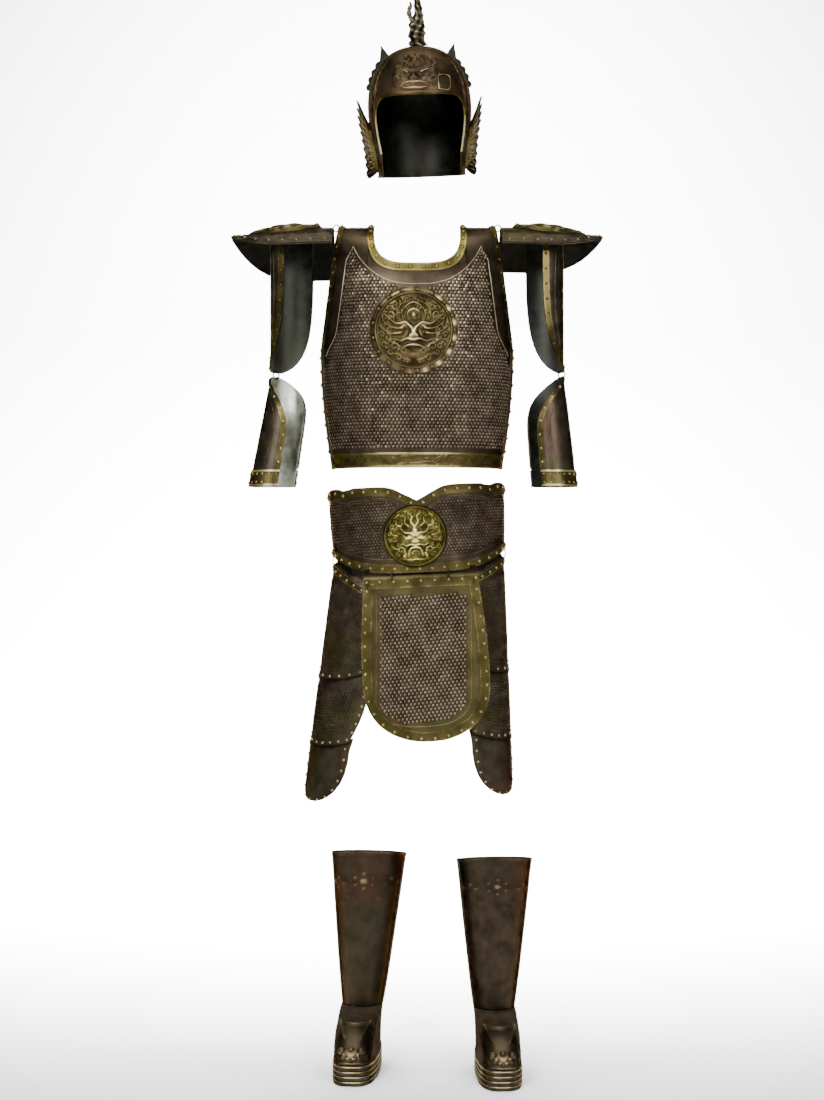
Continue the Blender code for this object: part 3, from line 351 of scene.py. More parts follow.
def onSurface(surfaceAt, a, b, inside, steps=(0.001, 0.001)):
    # points, and normals from small steps along both coordinates
    places = surfaceAt(a, b)
    da, db = steps
    along = surfaceAt(a + da, b) - surfaceAt(a - da, b)
    normals = unit(np.cross(along, surfaceAt(a, b + db) - surfaceAt(a, b - db)))
    flip = np.sum(normals * (places - inside(places)), axis=-1, keepdims=True) < 0.0
    return places, np.where(flip, -normals, normals)


# Reliefs as heights over a flat square or disc
def smoothLine(points, steps=8):
    # Catmull-Rom: (2b + (c-a)t + (2a-5b+4c-d)t^2 + (3b-a-3c+d)t^3) / 2
    points = np.asarray(points, dtype=float)
    ends = np.concatenate([[2.0 * points[0] - points[1]], points, [2.0 * points[-1] - points[-2]]])
    t = np.linspace(0.0, 1.0, steps, endpoint=False)[:, None, None]
    a, b, c, d = ends[:-3], ends[1:-2], ends[2:-1], ends[3:]
    run = 0.5 * (2.0 * b + (c - a) * t + (2.0 * a - 5.0 * b + 4.0 * c - d) * t ** 2
                 + (3.0 * b - a - 3.0 * c + d) * t ** 3)
    return np.concatenate([run.transpose(1, 0, 2).reshape(-1, points.shape[1]), points[-1:]])


def ridge(x, y, line, width, height):
    # h exp(-(d/w)^2), d being the distance to the line; it thins towards the line's end
    line = smoothLine(line)
    start, step = line[:-1], np.diff(line, axis=0)
    flat = np.stack([x.ravel(), y.ravel()], axis=-1)[:, None]
    share = np.clip(np.sum((flat - start) * step, axis=-1) / np.sum(step ** 2, axis=-1), 0.0, 1.0)
    distance = np.linalg.norm(flat - start - share[..., None] * step, axis=-1)
    nearest = np.argmin(distance, axis=1)
    thin = 1.0 - 0.45 * nearest / len(start)
    found = distance[np.arange(len(flat)), nearest] / (width * thin)
    return (height * thin * np.exp(-found ** 2)).reshape(x.shape)


def curl(across, up, radius, start, turns, steps=10):
    # spiral: radius (1 - 0.85 t) at the angle start + turns t
    t = np.linspace(0.0, 1.0, steps)
    angle = math.radians(start) + math.radians(turns) * t
    return np.stack([across + radius * (1.0 - 0.85 * t) * np.cos(angle),
                     up + radius * (1.0 - 0.85 * t) * np.sin(angle)], axis=-1)


def relief(x, y, lumps, lines, curls=()):
    # the highest of the ridges, on top of the sum of the lumps
    total = np.zeros_like(x)
    for across, up, wide, tall, raised in lumps:
        total += raised * bump(x, y, across, up, wide, tall)
    top = np.zeros_like(x)
    for width, height, line in lines:
        top = np.maximum(top, ridge(x, y, line, width, height))
    for across, up, radius, start, turns, width, height in curls:
        top = np.maximum(top, ridge(x, y, curl(across, up, radius, start, turns), width, height))
    return total + top


def curlRing(away, count, radius, width, height):
    # small curls round one half of a disc
    turns = np.radians(np.linspace(-78.0, 78.0, count))
    return [(away * math.cos(turn), away * math.sin(turn), radius, 100.0 * index, 380.0, width, height)
            for index, turn in enumerate(turns)]


# Beast's face of the belt disc, as shares of its radius, on the side x > 0 and mirrored
beltFace = {
    "lumps": [(0.00, 0.20, 0.13, 0.15, 0.10), (0.00, -0.14, 0.10, 0.10, 0.11),
              (0.11, -0.17, 0.06, 0.05, 0.05), (0.20, 0.00, 0.09, 0.06, 0.07),
              (0.33, -0.12, 0.13, 0.10, 0.06), (0.00, -0.60, 0.20, 0.10, 0.03),
              (0.66, 0.28, 0.08, 0.08, 0.04), (0.36, -0.62, 0.08, 0.07, 0.05)],
    "lines": [(0.045, 0.10, [(0.04, 0.04), (0.16, 0.12), (0.32, 0.14), (0.44, 0.26), (0.42, 0.42)]),
              (0.035, 0.08, [(0.10, -0.04), (0.22, -0.07), (0.34, -0.01), (0.46, 0.10), (0.60, 0.14)]),
              (0.040, 0.09, [(0.02, -0.30), (0.16, -0.27), (0.30, -0.31), (0.42, -0.24),
                             (0.56, -0.28)]),
              (0.050, 0.11, [(0.00, -0.37), (0.14, -0.40), (0.22, -0.52), (0.24, -0.68)]),
              (0.030, 0.06, [(0.00, -0.49), (0.09, -0.52), (0.12, -0.64)]),
              (0.045, 0.08, [(0.00, -0.76), (0.14, -0.80), (0.30, -0.78), (0.44, -0.70)]),
              (0.045, 0.10, [(0.03, 0.38), (0.12, 0.52), (0.08, 0.68), (0.20, 0.82)]),
              (0.040, 0.08, [(0.20, 0.36), (0.32, 0.48), (0.30, 0.62), (0.40, 0.74)]),
              (0.040, 0.08, [(0.46, 0.36), (0.60, 0.42), (0.60, 0.56), (0.52, 0.66)]),
              (0.035, 0.07, [(0.56, 0.04), (0.70, 0.06), (0.82, 0.16), (0.80, 0.30)]),
              (0.035, 0.07, [(0.60, -0.12), (0.76, -0.14), (0.86, -0.04)]),
              (0.035, 0.07, [(0.58, -0.42), (0.72, -0.38), (0.80, -0.26)])],
    "curls": [(0.48, -0.46, 0.13, 200, -400, 0.035, 0.08), (0.70, -0.02, 0.09, 90, 380, 0.028, 0.05),
              (0.22, 0.62, 0.10, -40, 380, 0.030, 0.06), (0.66, 0.46, 0.10, 180, -360, 0.028, 0.05)]}
# Relief of the chest disc: a layered flower above, winged scrolls at its sides, a nose and clouds
chestFace = {
    "lumps": [(0.00, 0.40, 0.09, 0.09, 0.08), (0.00, -0.06, 0.10, 0.14, 0.09),
              (0.10, -0.16, 0.06, 0.05, 0.05), (0.26, 0.10, 0.09, 0.06, 0.06),
              (0.00, -0.66, 0.24, 0.06, 0.04)],
    "lines": [(0.035, 0.08, [(0.00, 0.56), (0.12, 0.50), (0.17, 0.38), (0.12, 0.26)]),
              (0.035, 0.07, [(0.00, 0.74), (0.16, 0.66), (0.28, 0.52), (0.30, 0.34), (0.22, 0.20)]),
              (0.030, 0.06, [(0.20, 0.76), (0.36, 0.64), (0.44, 0.46), (0.42, 0.28)]),
              (0.040, 0.08, [(0.06, 0.06), (0.22, 0.20), (0.42, 0.16), (0.60, 0.26), (0.76, 0.44)]),
              (0.035, 0.07, [(0.30, 0.04), (0.48, 0.04), (0.66, 0.12), (0.82, 0.26)]),
              (0.035, 0.07, [(0.32, -0.08), (0.52, -0.10), (0.70, -0.04), (0.86, 0.06)]),
              (0.040, 0.08, [(0.02, -0.27), (0.18, -0.24), (0.34, -0.30), (0.50, -0.24),
                             (0.64, -0.30)]),
              (0.040, 0.08, [(0.00, -0.40), (0.16, -0.42), (0.30, -0.50), (0.30, -0.62)]),
              (0.035, 0.06, [(0.10, -0.80), (0.26, -0.76), (0.40, -0.66), (0.56, -0.62)])],
    "curls": [(0.50, -0.46, 0.12, 180, -380, 0.032, 0.07), (0.68, -0.20, 0.10, 90, 380, 0.030, 0.06),
              (0.60, 0.40, 0.10, 200, -380, 0.030, 0.06), (0.24, -0.58, 0.09, 0, 380, 0.030, 0.05),
              (0.70, -0.44, 0.09, 60, 380, 0.028, 0.05), (0.48, 0.62, 0.09, 240, 380, 0.028, 0.05)]}
# Beast's face on the helmet's brow, in centimetres above the face opening
browFace = {
    "lumps": [(0.0, 5.3, 1.1, 1.2, 0.60), (1.8, 4.7, 0.9, 0.5, 0.60), (0.0, 2.6, 0.50, 0.60, 0.75),
              (0.60, 2.2, 0.35, 0.30, 0.45), (2.1, 2.4, 0.8, 0.6, 0.35), (3.6, 3.4, 1.0, 1.0, 0.30),
              (0.0, 0.9, 2.2, 0.7, 0.35)],
    "lines": [(0.28, 0.55, [(0.3, 4.2), (1.2, 4.6), (2.3, 4.9), (3.2, 4.4)]),
              (0.22, 0.35, [(3.0, 2.2), (3.7, 2.6), (4.4, 2.4), (5.0, 3.0)]),
              (0.22, 0.35, [(3.2, 1.0), (4.0, 1.3), (4.8, 1.1)]),
              (0.22, 0.40, [(0.3, 6.6), (1.3, 6.4), (2.4, 6.9)])],
    "curls": [(2.9, 6.0, 0.8, 200, -420, 0.24, 0.45), (4.2, 4.9, 0.7, 20, 400, 0.22, 0.35)]}
# gleaming lines of the same face: eyes and lips
browGleam = [(0.20, 0.55, [(1.2, 3.35), (1.9, 3.70), (2.7, 3.85)]),
             (0.20, 0.50, [(0.0, 1.45), (0.9, 1.55), (1.9, 1.25), (2.4, 0.75)]),
             (0.22, 0.55, [(0.0, 0.45), (1.1, 0.40), (2.1, 0.60)])]


# Shaders
class Sock:
    # an output socket; arithmetic on it adds Math nodes to its shader
    def __init__(self, shader, socket):
        self.shader, self.socket = shader, socket

    def math(self, operation, first, second):
        return self.shader.node("ShaderNodeMath", {"operation": operation}, {0: first, 1: second})

    def __add__(self, other):
        return self.math("ADD", self, other)

    def __sub__(self, other):
        return self.math("SUBTRACT", self, other)

    def __rsub__(self, other):
        return self.math("SUBTRACT", other, self)

    def __mul__(self, other):
        return self.math("MULTIPLY", self, other)

    __radd__ = __add__
    __rmul__ = __mul__


class Shader:
    # a node material with one Principled surface
    def __init__(self, name):
        self.material = bpy.data.materials.new(name)
        self.material.use_nodes = True
        self.tree = self.material.node_tree
        self.surface = self.tree.nodes["Principled BSDF"]

    def give(self, socket, value):
        if isinstance(value, Sock):
            self.tree.links.new(value.socket, socket)
        else:
            socket.default_value = value

    def node(self, kind, settings, inputs, output=0):
        made = self.tree.nodes.new(kind)
        for key, value in settings.items():
            setattr(made, key, value)
        for key, value in inputs.items():
            self.give(made.inputs[key], value)
        return Sock(self, made.outputs[output])

    def mix(self, share, first, second):
        return self.node("ShaderNodeMix", {"data_type": "RGBA"}, {0: share, 6: first, 7: second}, 2)

    def noise(self, where, scale, detail=3.0):
        return self.node("ShaderNodeTexNoise", {}, {"Vector": where, "Scale": scale, "Detail": detail})

    def spread(self, value, low, high):
        # 0 below low, 1 above high
        return self.node("ShaderNodeMapRange", {}, {"Value": value, "From Min": low, "From Max": high})

    def finish(self, **inputs):
        for key, value in inputs.items():
            self.give(self.surface.inputs[key.replace("_", " ")], value)
        return self.material


def tone(red, green, blue):
    return (red, green, blue, 1.0)


def patinaWithPaintedLight(name, look):
    # recess, ground and wear-and-glint tones follow the attribute high: near 0 the recess tone puts painted
    # shade into hollows over their dark tarnish, near 1 the light tone puts painted highlights and glints
    # over metal rubbed by wear; noise mixes a second tone in
    shader = Shader(name)
    where = shader.node("ShaderNodeTexCoord", {}, {}, "Object")
    high = shader.node("ShaderNodeAttribute", {"attribute_name": "high"}, {}, "Fac")
    broad = shader.noise(where, look["patch"], 4.0)
    cloud = shader.noise(where, 38.0, 5.0)
    fine = shader.noise(where, 620.0, 3.0)
    green = shader.noise(where, look["patch"] * 0.62 + 1.3, 3.0)
    ground = shader.mix(shader.spread(cloud, 0.36, 0.66), tone(*look["ground"]), tone(*look["second"]))
    ground = shader.mix(shader.spread(broad, 0.50, 0.66) * look["tintShare"], ground,
                        tone(*look["tint"]))
    ground = shader.mix(shader.spread(green, 0.52, 0.64) * look["oliveShare"], ground,
                        tone(*look["olive"]))
    # painted highlight: above 0.62 the light tone shows, wear and painted glint in one
    wornAndGlint = shader.mix(shader.spread(high + (fine - 0.5) * 0.4 + (cloud - 0.5) * 0.22, 0.62, 1.0),
                      ground, tone(*look["wornAndGlint"]))
    # painted shade: below 0.42 the recess tone darkens hollows and gaps, over their dark tarnish
    colour = shader.mix(shader.spread(high + (cloud - 0.5) * 0.15, 0.0, 0.42), tone(*look["recess"]),
                        wornAndGlint)
    height = 0.35 * fine + look["dents"] * cloud
    normal = shader.node("ShaderNodeBump", {}, {"Strength": look["bump"], "Distance": 0.0012,
                                               "Height": height}, "Normal")
    rough = shader.spread(cloud, 0.2, 0.8) * look["roughSpread"] + look["rough"]
    # faces that turn to the sides are matt, so that their edges stay dark before a white wall
    turned = shader.node("ShaderNodeNewGeometry", {}, {}, "Normal")
    along = shader.node("ShaderNodeSeparateXYZ", {}, {"Vector": turned}, "Y")
    metallic = shader.spread(along * along, 0.03, 0.14)
    return shader.finish(Base_Color=colour, Metallic=metallic, Roughness=rough, Normal=normal,
                         Specular_Tint=tone(0.30, 0.27, 0.22), Specular_IOR_Level=0.0)


# One look for each finish: what a recess (dark tarnish with painted shade), the ground and a rubbed edge
# with its painted highlight look like, two further tones and their shares, then the size of the patches,
# the dents and the roughness
looks = {
    "bronze": {"ground": (0.036, 0.027, 0.017), "second": (0.054, 0.041, 0.027),
               "tint": (0.054, 0.032, 0.025), "tintShare": 0.55, "olive": (0.048, 0.042, 0.020),
               "oliveShare": 0.50, "wornAndGlint": (0.44, 0.36, 0.24), "recess": (0.008, 0.006, 0.004),
               "patch": 6.0, "dents": 0.6, "bump": 0.40, "rough": 0.32, "roughSpread": 0.16},
    "plain": {"ground": (0.036, 0.029, 0.020), "second": (0.062, 0.052, 0.036),
              "tint": (0.062, 0.034, 0.026), "tintShare": 0.5, "olive": (0.052, 0.048, 0.018),
              "oliveShare": 0.6, "wornAndGlint": (0.44, 0.35, 0.17), "recess": (0.006, 0.005, 0.003),
              "patch": 8.0, "dents": 0.8, "bump": 0.45, "rough": 0.34, "roughSpread": 0.18},
    "brass": {"ground": (0.054, 0.042, 0.013), "second": (0.092, 0.074, 0.026),
              "tint": (0.050, 0.032, 0.014), "tintShare": 0.6, "olive": (0.058, 0.057, 0.015),
              "oliveShare": 0.6, "wornAndGlint": (0.66, 0.56, 0.26), "recess": (0.012, 0.009, 0.004),
              "patch": 9.0, "dents": 0.5, "bump": 0.35, "rough": 0.30, "roughSpread": 0.18},
    "bright": {"ground": (0.180, 0.142, 0.034), "second": (0.270, 0.220, 0.066),
               "tint": (0.150, 0.110, 0.035), "tintShare": 0.6, "olive": (0.200, 0.190, 0.050),
               "oliveShare": 0.5, "wornAndGlint": (0.78, 0.66, 0.30), "recess": (0.030, 0.022, 0.006),
               "patch": 10.0, "dents": 0.3, "bump": 0.25, "rough": 0.26, "roughSpread": 0.16},
    "gilt": {"ground": (0.105, 0.088, 0.018), "second": (0.170, 0.145, 0.038),
             "tint": (0.090, 0.068, 0.016), "tintShare": 0.5, "olive": (0.088, 0.088, 0.020),
             "oliveShare": 0.5, "wornAndGlint": (0.86, 0.78, 0.34), "recess": (0.016, 0.013, 0.003),
             "patch": 16.0, "dents": 0.3, "bump": 0.20, "rough": 0.24, "roughSpread": 0.14},
    "wing": {"ground": (0.034, 0.027, 0.017), "second": (0.060, 0.050, 0.034),
             "tint": (0.060, 0.040, 0.014), "tintShare": 0.5, "olive": (0.036, 0.036, 0.020),
             "oliveShare": 0.5, "wornAndGlint": (0.28, 0.22, 0.11), "recess": (0.006, 0.005, 0.003),
             "patch": 14.0, "dents": 0.4, "bump": 0.30, "rough": 0.34, "roughSpread": 0.16},
    "inner": {"ground": (0.010, 0.010, 0.008), "second": (0.020, 0.019, 0.016),
              "tint": (0.020, 0.014, 0.010), "tintShare": 0.5, "olive": (0.012, 0.014, 0.009),
              "oliveShare": 0.6, "wornAndGlint": (0.10, 0.10, 0.08), "recess": (0.004, 0.004, 0.003),
              "patch": 9.0, "dents": 1.0, "bump": 0.35, "rough": 0.40, "roughSpread": 0.20},
    "black": {"ground": (0.004, 0.004, 0.0035), "second": (0.008, 0.008, 0.007),
              "tint": (0.006, 0.005, 0.004), "tintShare": 0.5, "olive": (0.005, 0.006, 0.004),
              "oliveShare": 0.6, "wornAndGlint": (0.03, 0.03, 0.025), "recess": (0.003, 0.003, 0.003),
              "patch": 9.0, "dents": 1.0, "bump": 0.35, "rough": 0.45, "roughSpread": 0.20},
    "olive": {"ground": (0.052, 0.042, 0.017), "second": (0.080, 0.066, 0.028),
              "tint": (0.054, 0.033, 0.019), "tintShare": 0.6, "olive": (0.056, 0.054, 0.019),
              "oliveShare": 0.6, "wornAndGlint": (0.40, 0.32, 0.15), "recess": (0.007, 0.005, 0.003),
              "patch": 8.0, "dents": 0.8, "bump": 0.40, "rough": 0.36, "roughSpread": 0.18},
    "disc": {"ground": (0.100, 0.074, 0.030), "second": (0.160, 0.125, 0.056),
             "tint": (0.120, 0.070, 0.045), "tintShare": 0.7, "olive": (0.110, 0.104, 0.026),
             "oliveShare": 0.6, "wornAndGlint": (0.86, 0.74, 0.42), "recess": (0.012, 0.009, 0.004),
             "patch": 11.0, "dents": 0.5, "bump": 0.30, "rough": 0.26, "roughSpread": 0.16},
    "armInner": {"ground": (0.046, 0.048, 0.040), "second": (0.074, 0.076, 0.066),
                 "tint": (0.044, 0.040, 0.034), "tintShare": 0.5, "olive": (0.048, 0.051, 0.036),
                 "oliveShare": 0.6, "wornAndGlint": (0.20, 0.20, 0.17), "recess": (0.010, 0.010, 0.008),
                 "patch": 9.0, "dents": 1.0, "bump": 0.40, "rough": 0.52, "roughSpread": 0.18},
    "silver": {"ground": (0.360, 0.370, 0.330), "second": (0.700, 0.710, 0.650),
               "tint": (0.200, 0.198, 0.172), "tintShare": 0.6, "olive": (0.320, 0.340, 0.270),
               "oliveShare": 0.5, "wornAndGlint": (0.85, 0.85, 0.80), "recess": (0.020, 0.020, 0.017),
               "patch": 18.0, "dents": 1.8, "bump": 1.0, "rough": 0.26, "roughSpread": 0.26},
    "iron": {"ground": (0.030, 0.025, 0.018), "second": (0.060, 0.050, 0.035),
             "tint": (0.036, 0.026, 0.017), "tintShare": 0.5, "olive": (0.034, 0.030, 0.016),
             "oliveShare": 0.3, "wornAndGlint": (0.20, 0.17, 0.11), "recess": (0.010, 0.008, 0.005),
             "patch": 30.0, "dents": 0.3, "bump": 0.20, "rough": 0.36, "roughSpread": 0.14},
    "boot": {"ground": (0.026, 0.019, 0.012), "second": (0.042, 0.032, 0.021),
             "tint": (0.048, 0.024, 0.014), "tintShare": 0.6, "olive": (0.034, 0.032, 0.018),
             "oliveShare": 0.45, "wornAndGlint": (0.34, 0.26, 0.13), "recess": (0.006, 0.005, 0.003),
             "patch": 7.0, "dents": 0.7, "bump": 0.40, "rough": 0.34, "roughSpread": 0.18},
    "skull": {"ground": (0.044, 0.031, 0.018), "second": (0.072, 0.052, 0.030),
              "tint": (0.076, 0.036, 0.026), "tintShare": 0.6, "olive": (0.054, 0.051, 0.024),
              "oliveShare": 0.45, "wornAndGlint": (0.42, 0.33, 0.15), "recess": (0.005, 0.004, 0.003),
              "patch": 9.0, "dents": 1.0, "bump": 0.50, "rough": 0.38, "roughSpread": 0.18},
}
metal = {name: patinaWithPaintedLight(name, look) for name, look in looks.items()}
print("materials made")


# Shared plate building
def plate(build, surface, columns, rows, inside, wall, lift=0.0, inner=None, wrap=False, high=0.5,
          out=False, normalAt=None, coarse=5):
    # the surface over u and v, moved along its normals by the lift, with a wall behind it
    u, v = square(rows, columns + 1 if wrap else columns)
    if wrap:
        u, v = u[:, :-1], v[:, :-1]
    base = surface(u, v)
    normals = gridNormals(base, inside, wrap) if normalAt is None else normalAt(base)
    raised = lift(u, v) if callable(lift) else lift
    levels = high(u, v) if callable(high) else high
    outer = base + normals * np.broadcast_to(raised + (wall if out else 0.0), u.shape)[..., None]
    addShell(build, outer, normals, wall + raised, 0, inner, wrap, levels, coarse)
    return outer, normals


def beads(u, v):
    # a rolled edge along both long sides of a strip
    return 0.0006 * np.exp(-((np.abs(v) - 0.86) / 0.14) ** 2)


def beadHigh(u, v):
    # painted highlight: the rolled edges are lighter, wear and painted glint in one
    return 0.48 + 0.40 * np.exp(-((np.abs(v) - 0.86) / 0.16) ** 2)


def border(build, strip, columns, rows, inside, raised=0.0009, high=beadHigh):
    # a beaded strip that lies on the plate
    return plate(build, strip, columns, rows, inside, borderWall, lambda u, v: raised + beads(u, v),
                 high=high, out=True)


def rivetRow(build, points, normals, pitch, radius, start=0.0, closed=False, high=0.95):
    places = evenly(points, pitch, start, closed)
    addRivets(build, pick(points, places), unit(pick(normals, places)), radius, 0, high)


# Cuirass
cuirass = {"hem": -0.484, "band": 0.030, "armhole": -0.248, "shoulder": 0.157, "chest": 0.190,
           "waist": 0.168, "chestDepth": 0.130, "waistDepth": 0.118, "roll": 0.14, "power": 2.3,
           "neck": 0.0835, "frontNeck": 0.0855, "backNeck": 0.056, "neckPower": 3.5, "neckShare": 0.46,
           "backRise": 0.009, "loopHalf": 0.125, "loopTop": -0.048, "loopDrop": 0.080,
           "discPlace": (-0.0067, -0.2176),
           "discRadius": 0.0845, "scale": (0.0075, 0.0065, 0.0014)}


def torsoWidth(z):
    rise = np.minimum(1.0, (z - cuirass["hem"]) / (cuirass["armhole"] - cuirass["hem"]))
    return cuirass["waist"] + (cuirass["chest"] - cuirass["waist"]) * np.sin(math.pi / 2.0 * rise)


def torsoDepth(z):
    rise = np.minimum(1.0, (z - cuirass["hem"]) / (cuirass["armhole"] - cuirass["hem"]))
    body = (cuirass["waistDepth"]
            + (cuirass["chestDepth"] - cuirass["waistDepth"]) * np.sin(math.pi / 2.0 * rise))
    roll = 1.0 - np.clip(-z / cuirass["roll"], 0.0, 1.0)
    return body * np.sqrt(np.maximum(0.0, 1.0 - roll * roll))


def torsoEdge(z):
    return np.where(z < cuirass["armhole"], torsoWidth(z),
                    cuirass["shoulder"] + 0.031 * (np.abs(z) / 0.24) ** 1.1)


def torsoEdgeAngle(z):
    ratio = np.minimum(1.0, torsoEdge(z) / torsoWidth(z))
    return np.arcsin(ratio ** (cuirass["power"] / 2.0))


def torsoPoint(angle, z, front):
    x, y = oval(angle, torsoWidth(z), torsoDepth(z), cuirass["power"])
    return stack(x, front * (y - 0.0006), z)


def torsoAt(x, z, front=1.0):
    ratio = np.minimum(1.0, np.abs(x) / torsoWidth(z))
    return torsoPoint(np.copysign(np.arcsin(ratio ** (cuirass["power"] / 2.0)), x), z, front)


def neckTurn(u):
    return math.pi / 2.0 * np.copysign(1.0 - (1.0 - np.minimum(1.0, np.abs(u))) ** 1.9, u)


def plateShare(u):
    neckPart, neckShare = 14.0 / 22.0, cuirass["neckShare"]
    near = neckShare * signedPower(np.sin(neckTurn(u / neckPart)), 2.0 / cuirass["neckPower"])
    outer = (np.abs(u) - neckPart) / (1.0 - neckPart)
    return np.where(np.abs(u) <= neckPart, near,
                    np.copysign(neckShare + (1.0 - neckShare) * outer, u))


def torsoSurface(front, drop):
    def surface(u, v):
        share = plateShare(u)
        top = -drop * arch(np.minimum(1.0, np.abs(share) / cuirass["neckShare"]), cuirass["neckPower"])
        rise = 1.0 - (1.0 - (v + 1.0) / 2.0) ** 2.0
        low = cuirass["hem"] + (0.0 if front > 0.0 else cuirass["backRise"])
        z = low + (top - low) * rise
        return torsoPoint(share * torsoEdgeAngle(z), z, front)
    return surface


torsoInside = spine(0.0, 0.0, -0.44, -0.14)


def torsoNormal(front):
    def normalAt(points):
        z = np.minimum(points[..., 2], -0.0015)
        return onSurface(lambda x, h: torsoAt(x, h, front), points[..., 0], z, torsoInside)[1]
    return normalAt


def loopHeight(x):
    # lower edge of the plain band round the neck
    reach = np.abs(x) / cuirass["loopHalf"]
    return cuirass["loopTop"] - cuirass["loopDrop"] * np.maximum(0.0, 1.0 - reach ** 2.6) ** 0.8


def fieldEdge(z):
    # half width of the scale field
    return torsoEdge(z) - 0.031 + 0.026 * blend((cuirass["armhole"] + 0.04 - z) / 0.09)


def lattice(halfWidth, low, high, wide, tall, tilt=0.0):
    # rows of places, every second one moved by half a step
    rows = np.arange(math.floor(low / tall), math.ceil(high / tall) + 1)
    columns = np.arange(-math.ceil(halfWidth / wide) - 1, math.ceil(halfWidth / wide) + 2)
    a = (columns[None] + 0.5 * (rows[:, None] % 2)) * wide + 0.0 * rows[:, None]
    b = rows[:, None] * tall + 0.0 * columns[None] + tilt * a
    return a.ravel(), b.ravel()


def arcTable(xs, ys):
    # arc length along a line in plan, for equal steps round a curved plate
    return np.concatenate([[0.0], np.cumsum(np.hypot(np.diff(xs), np.diff(ys)))])


def makeCuirass():
    build = Build()
    plate(build, torsoSurface(1.0, cuirass["frontNeck"]), 121, 71, torsoInside, plateWall,
          inner=1, high=0.5, normalAt=torsoNormal(1.0), coarse=2)
    # scales on rows round the chest
    xs = np.linspace(0.0, 0.186, 400)
    chart = arcTable(xs, torsoAt(xs, np.full(400, -0.30))[..., 1])
    wide, tall, high = cuirass["scale"]
    a, b = lattice(0.24, -0.447, -0.02, wide, tall)
    x = np.sign(a) * np.interp(np.abs(a), chart, xs)
    across, up = cuirass["discPlace"]
    keep = ((np.abs(a) < chart[-1]) & (np.abs(x) < fieldEdge(b)) & (b < loopHeight(x) - 0.006)
            & (b > -0.447) & (np.hypot(x - across, b - up) > cuirass["discRadius"] + 0.002))
    x, b = x[keep], b[keep]
    addScales(build, torsoAt, x, b, torsoInside, (wide, tall, high), glint=0.92)
    # raised line round the field
    turn = np.linspace(-1.0, 1.0, 121)
    lineX = turn * (cuirass["loopHalf"] + 0.001)
    neckLine = np.stack([lineX, loopHeight(lineX)], axis=-1)
    down = np.linspace(neckLine[-1, 1], -0.262, 60)[1:]
    edge = fieldEdge(down) + 0.004
    join = blend((neckLine[-1, 1] - down) / 0.03)
    edge = lineX[-1] * (1.0 - join) + edge * join
    loop = np.concatenate([np.stack([-edge, down], axis=-1)[::-1], neckLine,
                           np.stack([edge, down], axis=-1)])
    points, normals = onSurface(torsoAt, loop[:, 0], loop[:, 1], torsoInside)
    addTube(build, points + normals * 0.0002, normals, 0.0009, high=0.9)
    build.finish("breastplate", "bronze inner", "suit", "dark_bronze")

    build = Build()
    plate(build, torsoSurface(-1.0, cuirass["backNeck"]), 97, 61, torsoInside, plateWall,
          inner=1, normalAt=torsoNormal(-1.0), coarse=2)
    wide, tall, high = 0.0110, 0.0096, 0.0014
    a, b = lattice(0.24, -0.460, -0.06, wide, tall)
    x = np.sign(a) * np.interp(np.abs(a), chart, xs)
    keep = (np.abs(a) < chart[-1]) & (np.abs(x) < fieldEdge(b)) & (b < loopHeight(x) + 0.02) & (b < -0.075)
    addScales(build, lambda p, q: torsoAt(p, q, -1.0), x[keep], b[keep], torsoInside,
              (wide, tall, high))
    build.finish("backplate", "bronze inner", "suit", "dark_bronze")

    def neck(u, v):
        angle = neckTurn(u)
        half = cuirass["neck"] + 0.001 + 0.013 * (1.0 - v) / 2.0
        drop = cuirass["frontNeck"] + 0.001 + 1.2 * 0.013 * (1.0 - v) / 2.0
        x = half * signedPower(np.sin(angle), 2.0 / cuirass["neckPower"])
        z = -drop * np.abs(np.cos(angle)) ** (2.0 / cuirass["neckPower"])
        return torsoAt(x, np.minimum(z, -0.00005))

    def neckHigh(u, v):
        # painted light: the band's painted highlight fades towards the shoulders, where the band is painted
        # darker as shade
        return beadHigh(u, v) * (1.0 - 0.75 * blend((np.abs(u) - 0.42) / 0.24))

    build = Build()
    points, normals = border(build, neck, 161, 9, torsoInside, 0.00135, neckHigh)
    rivetRow(build, points[4], normals[4], 0.0255, 0.0044, 0.010, high=0.35)
    build.finish("neck_border", "bright", "suit", "aged_brass")

    for name, side in sides.items():
        def strip(u, v, side=side):
            rise = 1.0 - (1.0 - (u + 1.0) / 2.0) ** 2.0
            z = np.clip(cuirass["hem"] * (1.0 - rise), cuirass["hem"] + cuirass["band"] + 0.0012,
                        -0.00005)
            angle = torsoEdgeAngle(z)
            reach = np.hypot(torsoWidth(z) * np.cos(angle), torsoDepth(z) * np.sin(angle))
            inset = 0.0012 + 0.013 * (v + 1.0) / 2.0
            return torsoPoint(side * (angle - inset / reach), z, 1.0)
        build = Build()
        points, normals = border(build, strip, 141, 7, torsoInside, 0.00153)
        rivetRow(build, points[3], normals[3], 0.0262, 0.0034, 0.008, high=0.58)
        build.finish("side_border_" + name, "brass", "suit", "aged_brass")

    def hem(u, v):
        z = cuirass["hem"] + 0.0006 + (cuirass["band"] - 0.0006) * (v + 1.0) / 2.0
        return torsoPoint(plateShare(u) * (torsoEdgeAngle(z) - 0.008), z, 1.0)

    def engraving(x, v):
        # leaves and stems: two crossing waves inside the band
        stem = np.sin(x * 70.0 + 2.2 * np.sin(v * 5.0)) * np.cos(v * 9.0 + 1.5 * np.sin(x * 45.0))
        return (stem + 0.6 * np.sin(x * 190.0) * np.sin(v * 15.0)) * (np.abs(v) < 0.66)

    def hemLift(u, v):
        x = plateShare(u)
        return 0.0009 + beads(u, v) + 0.0004 * engraving(x, v)

    def hemHigh(u, v):
        x = plateShare(u)
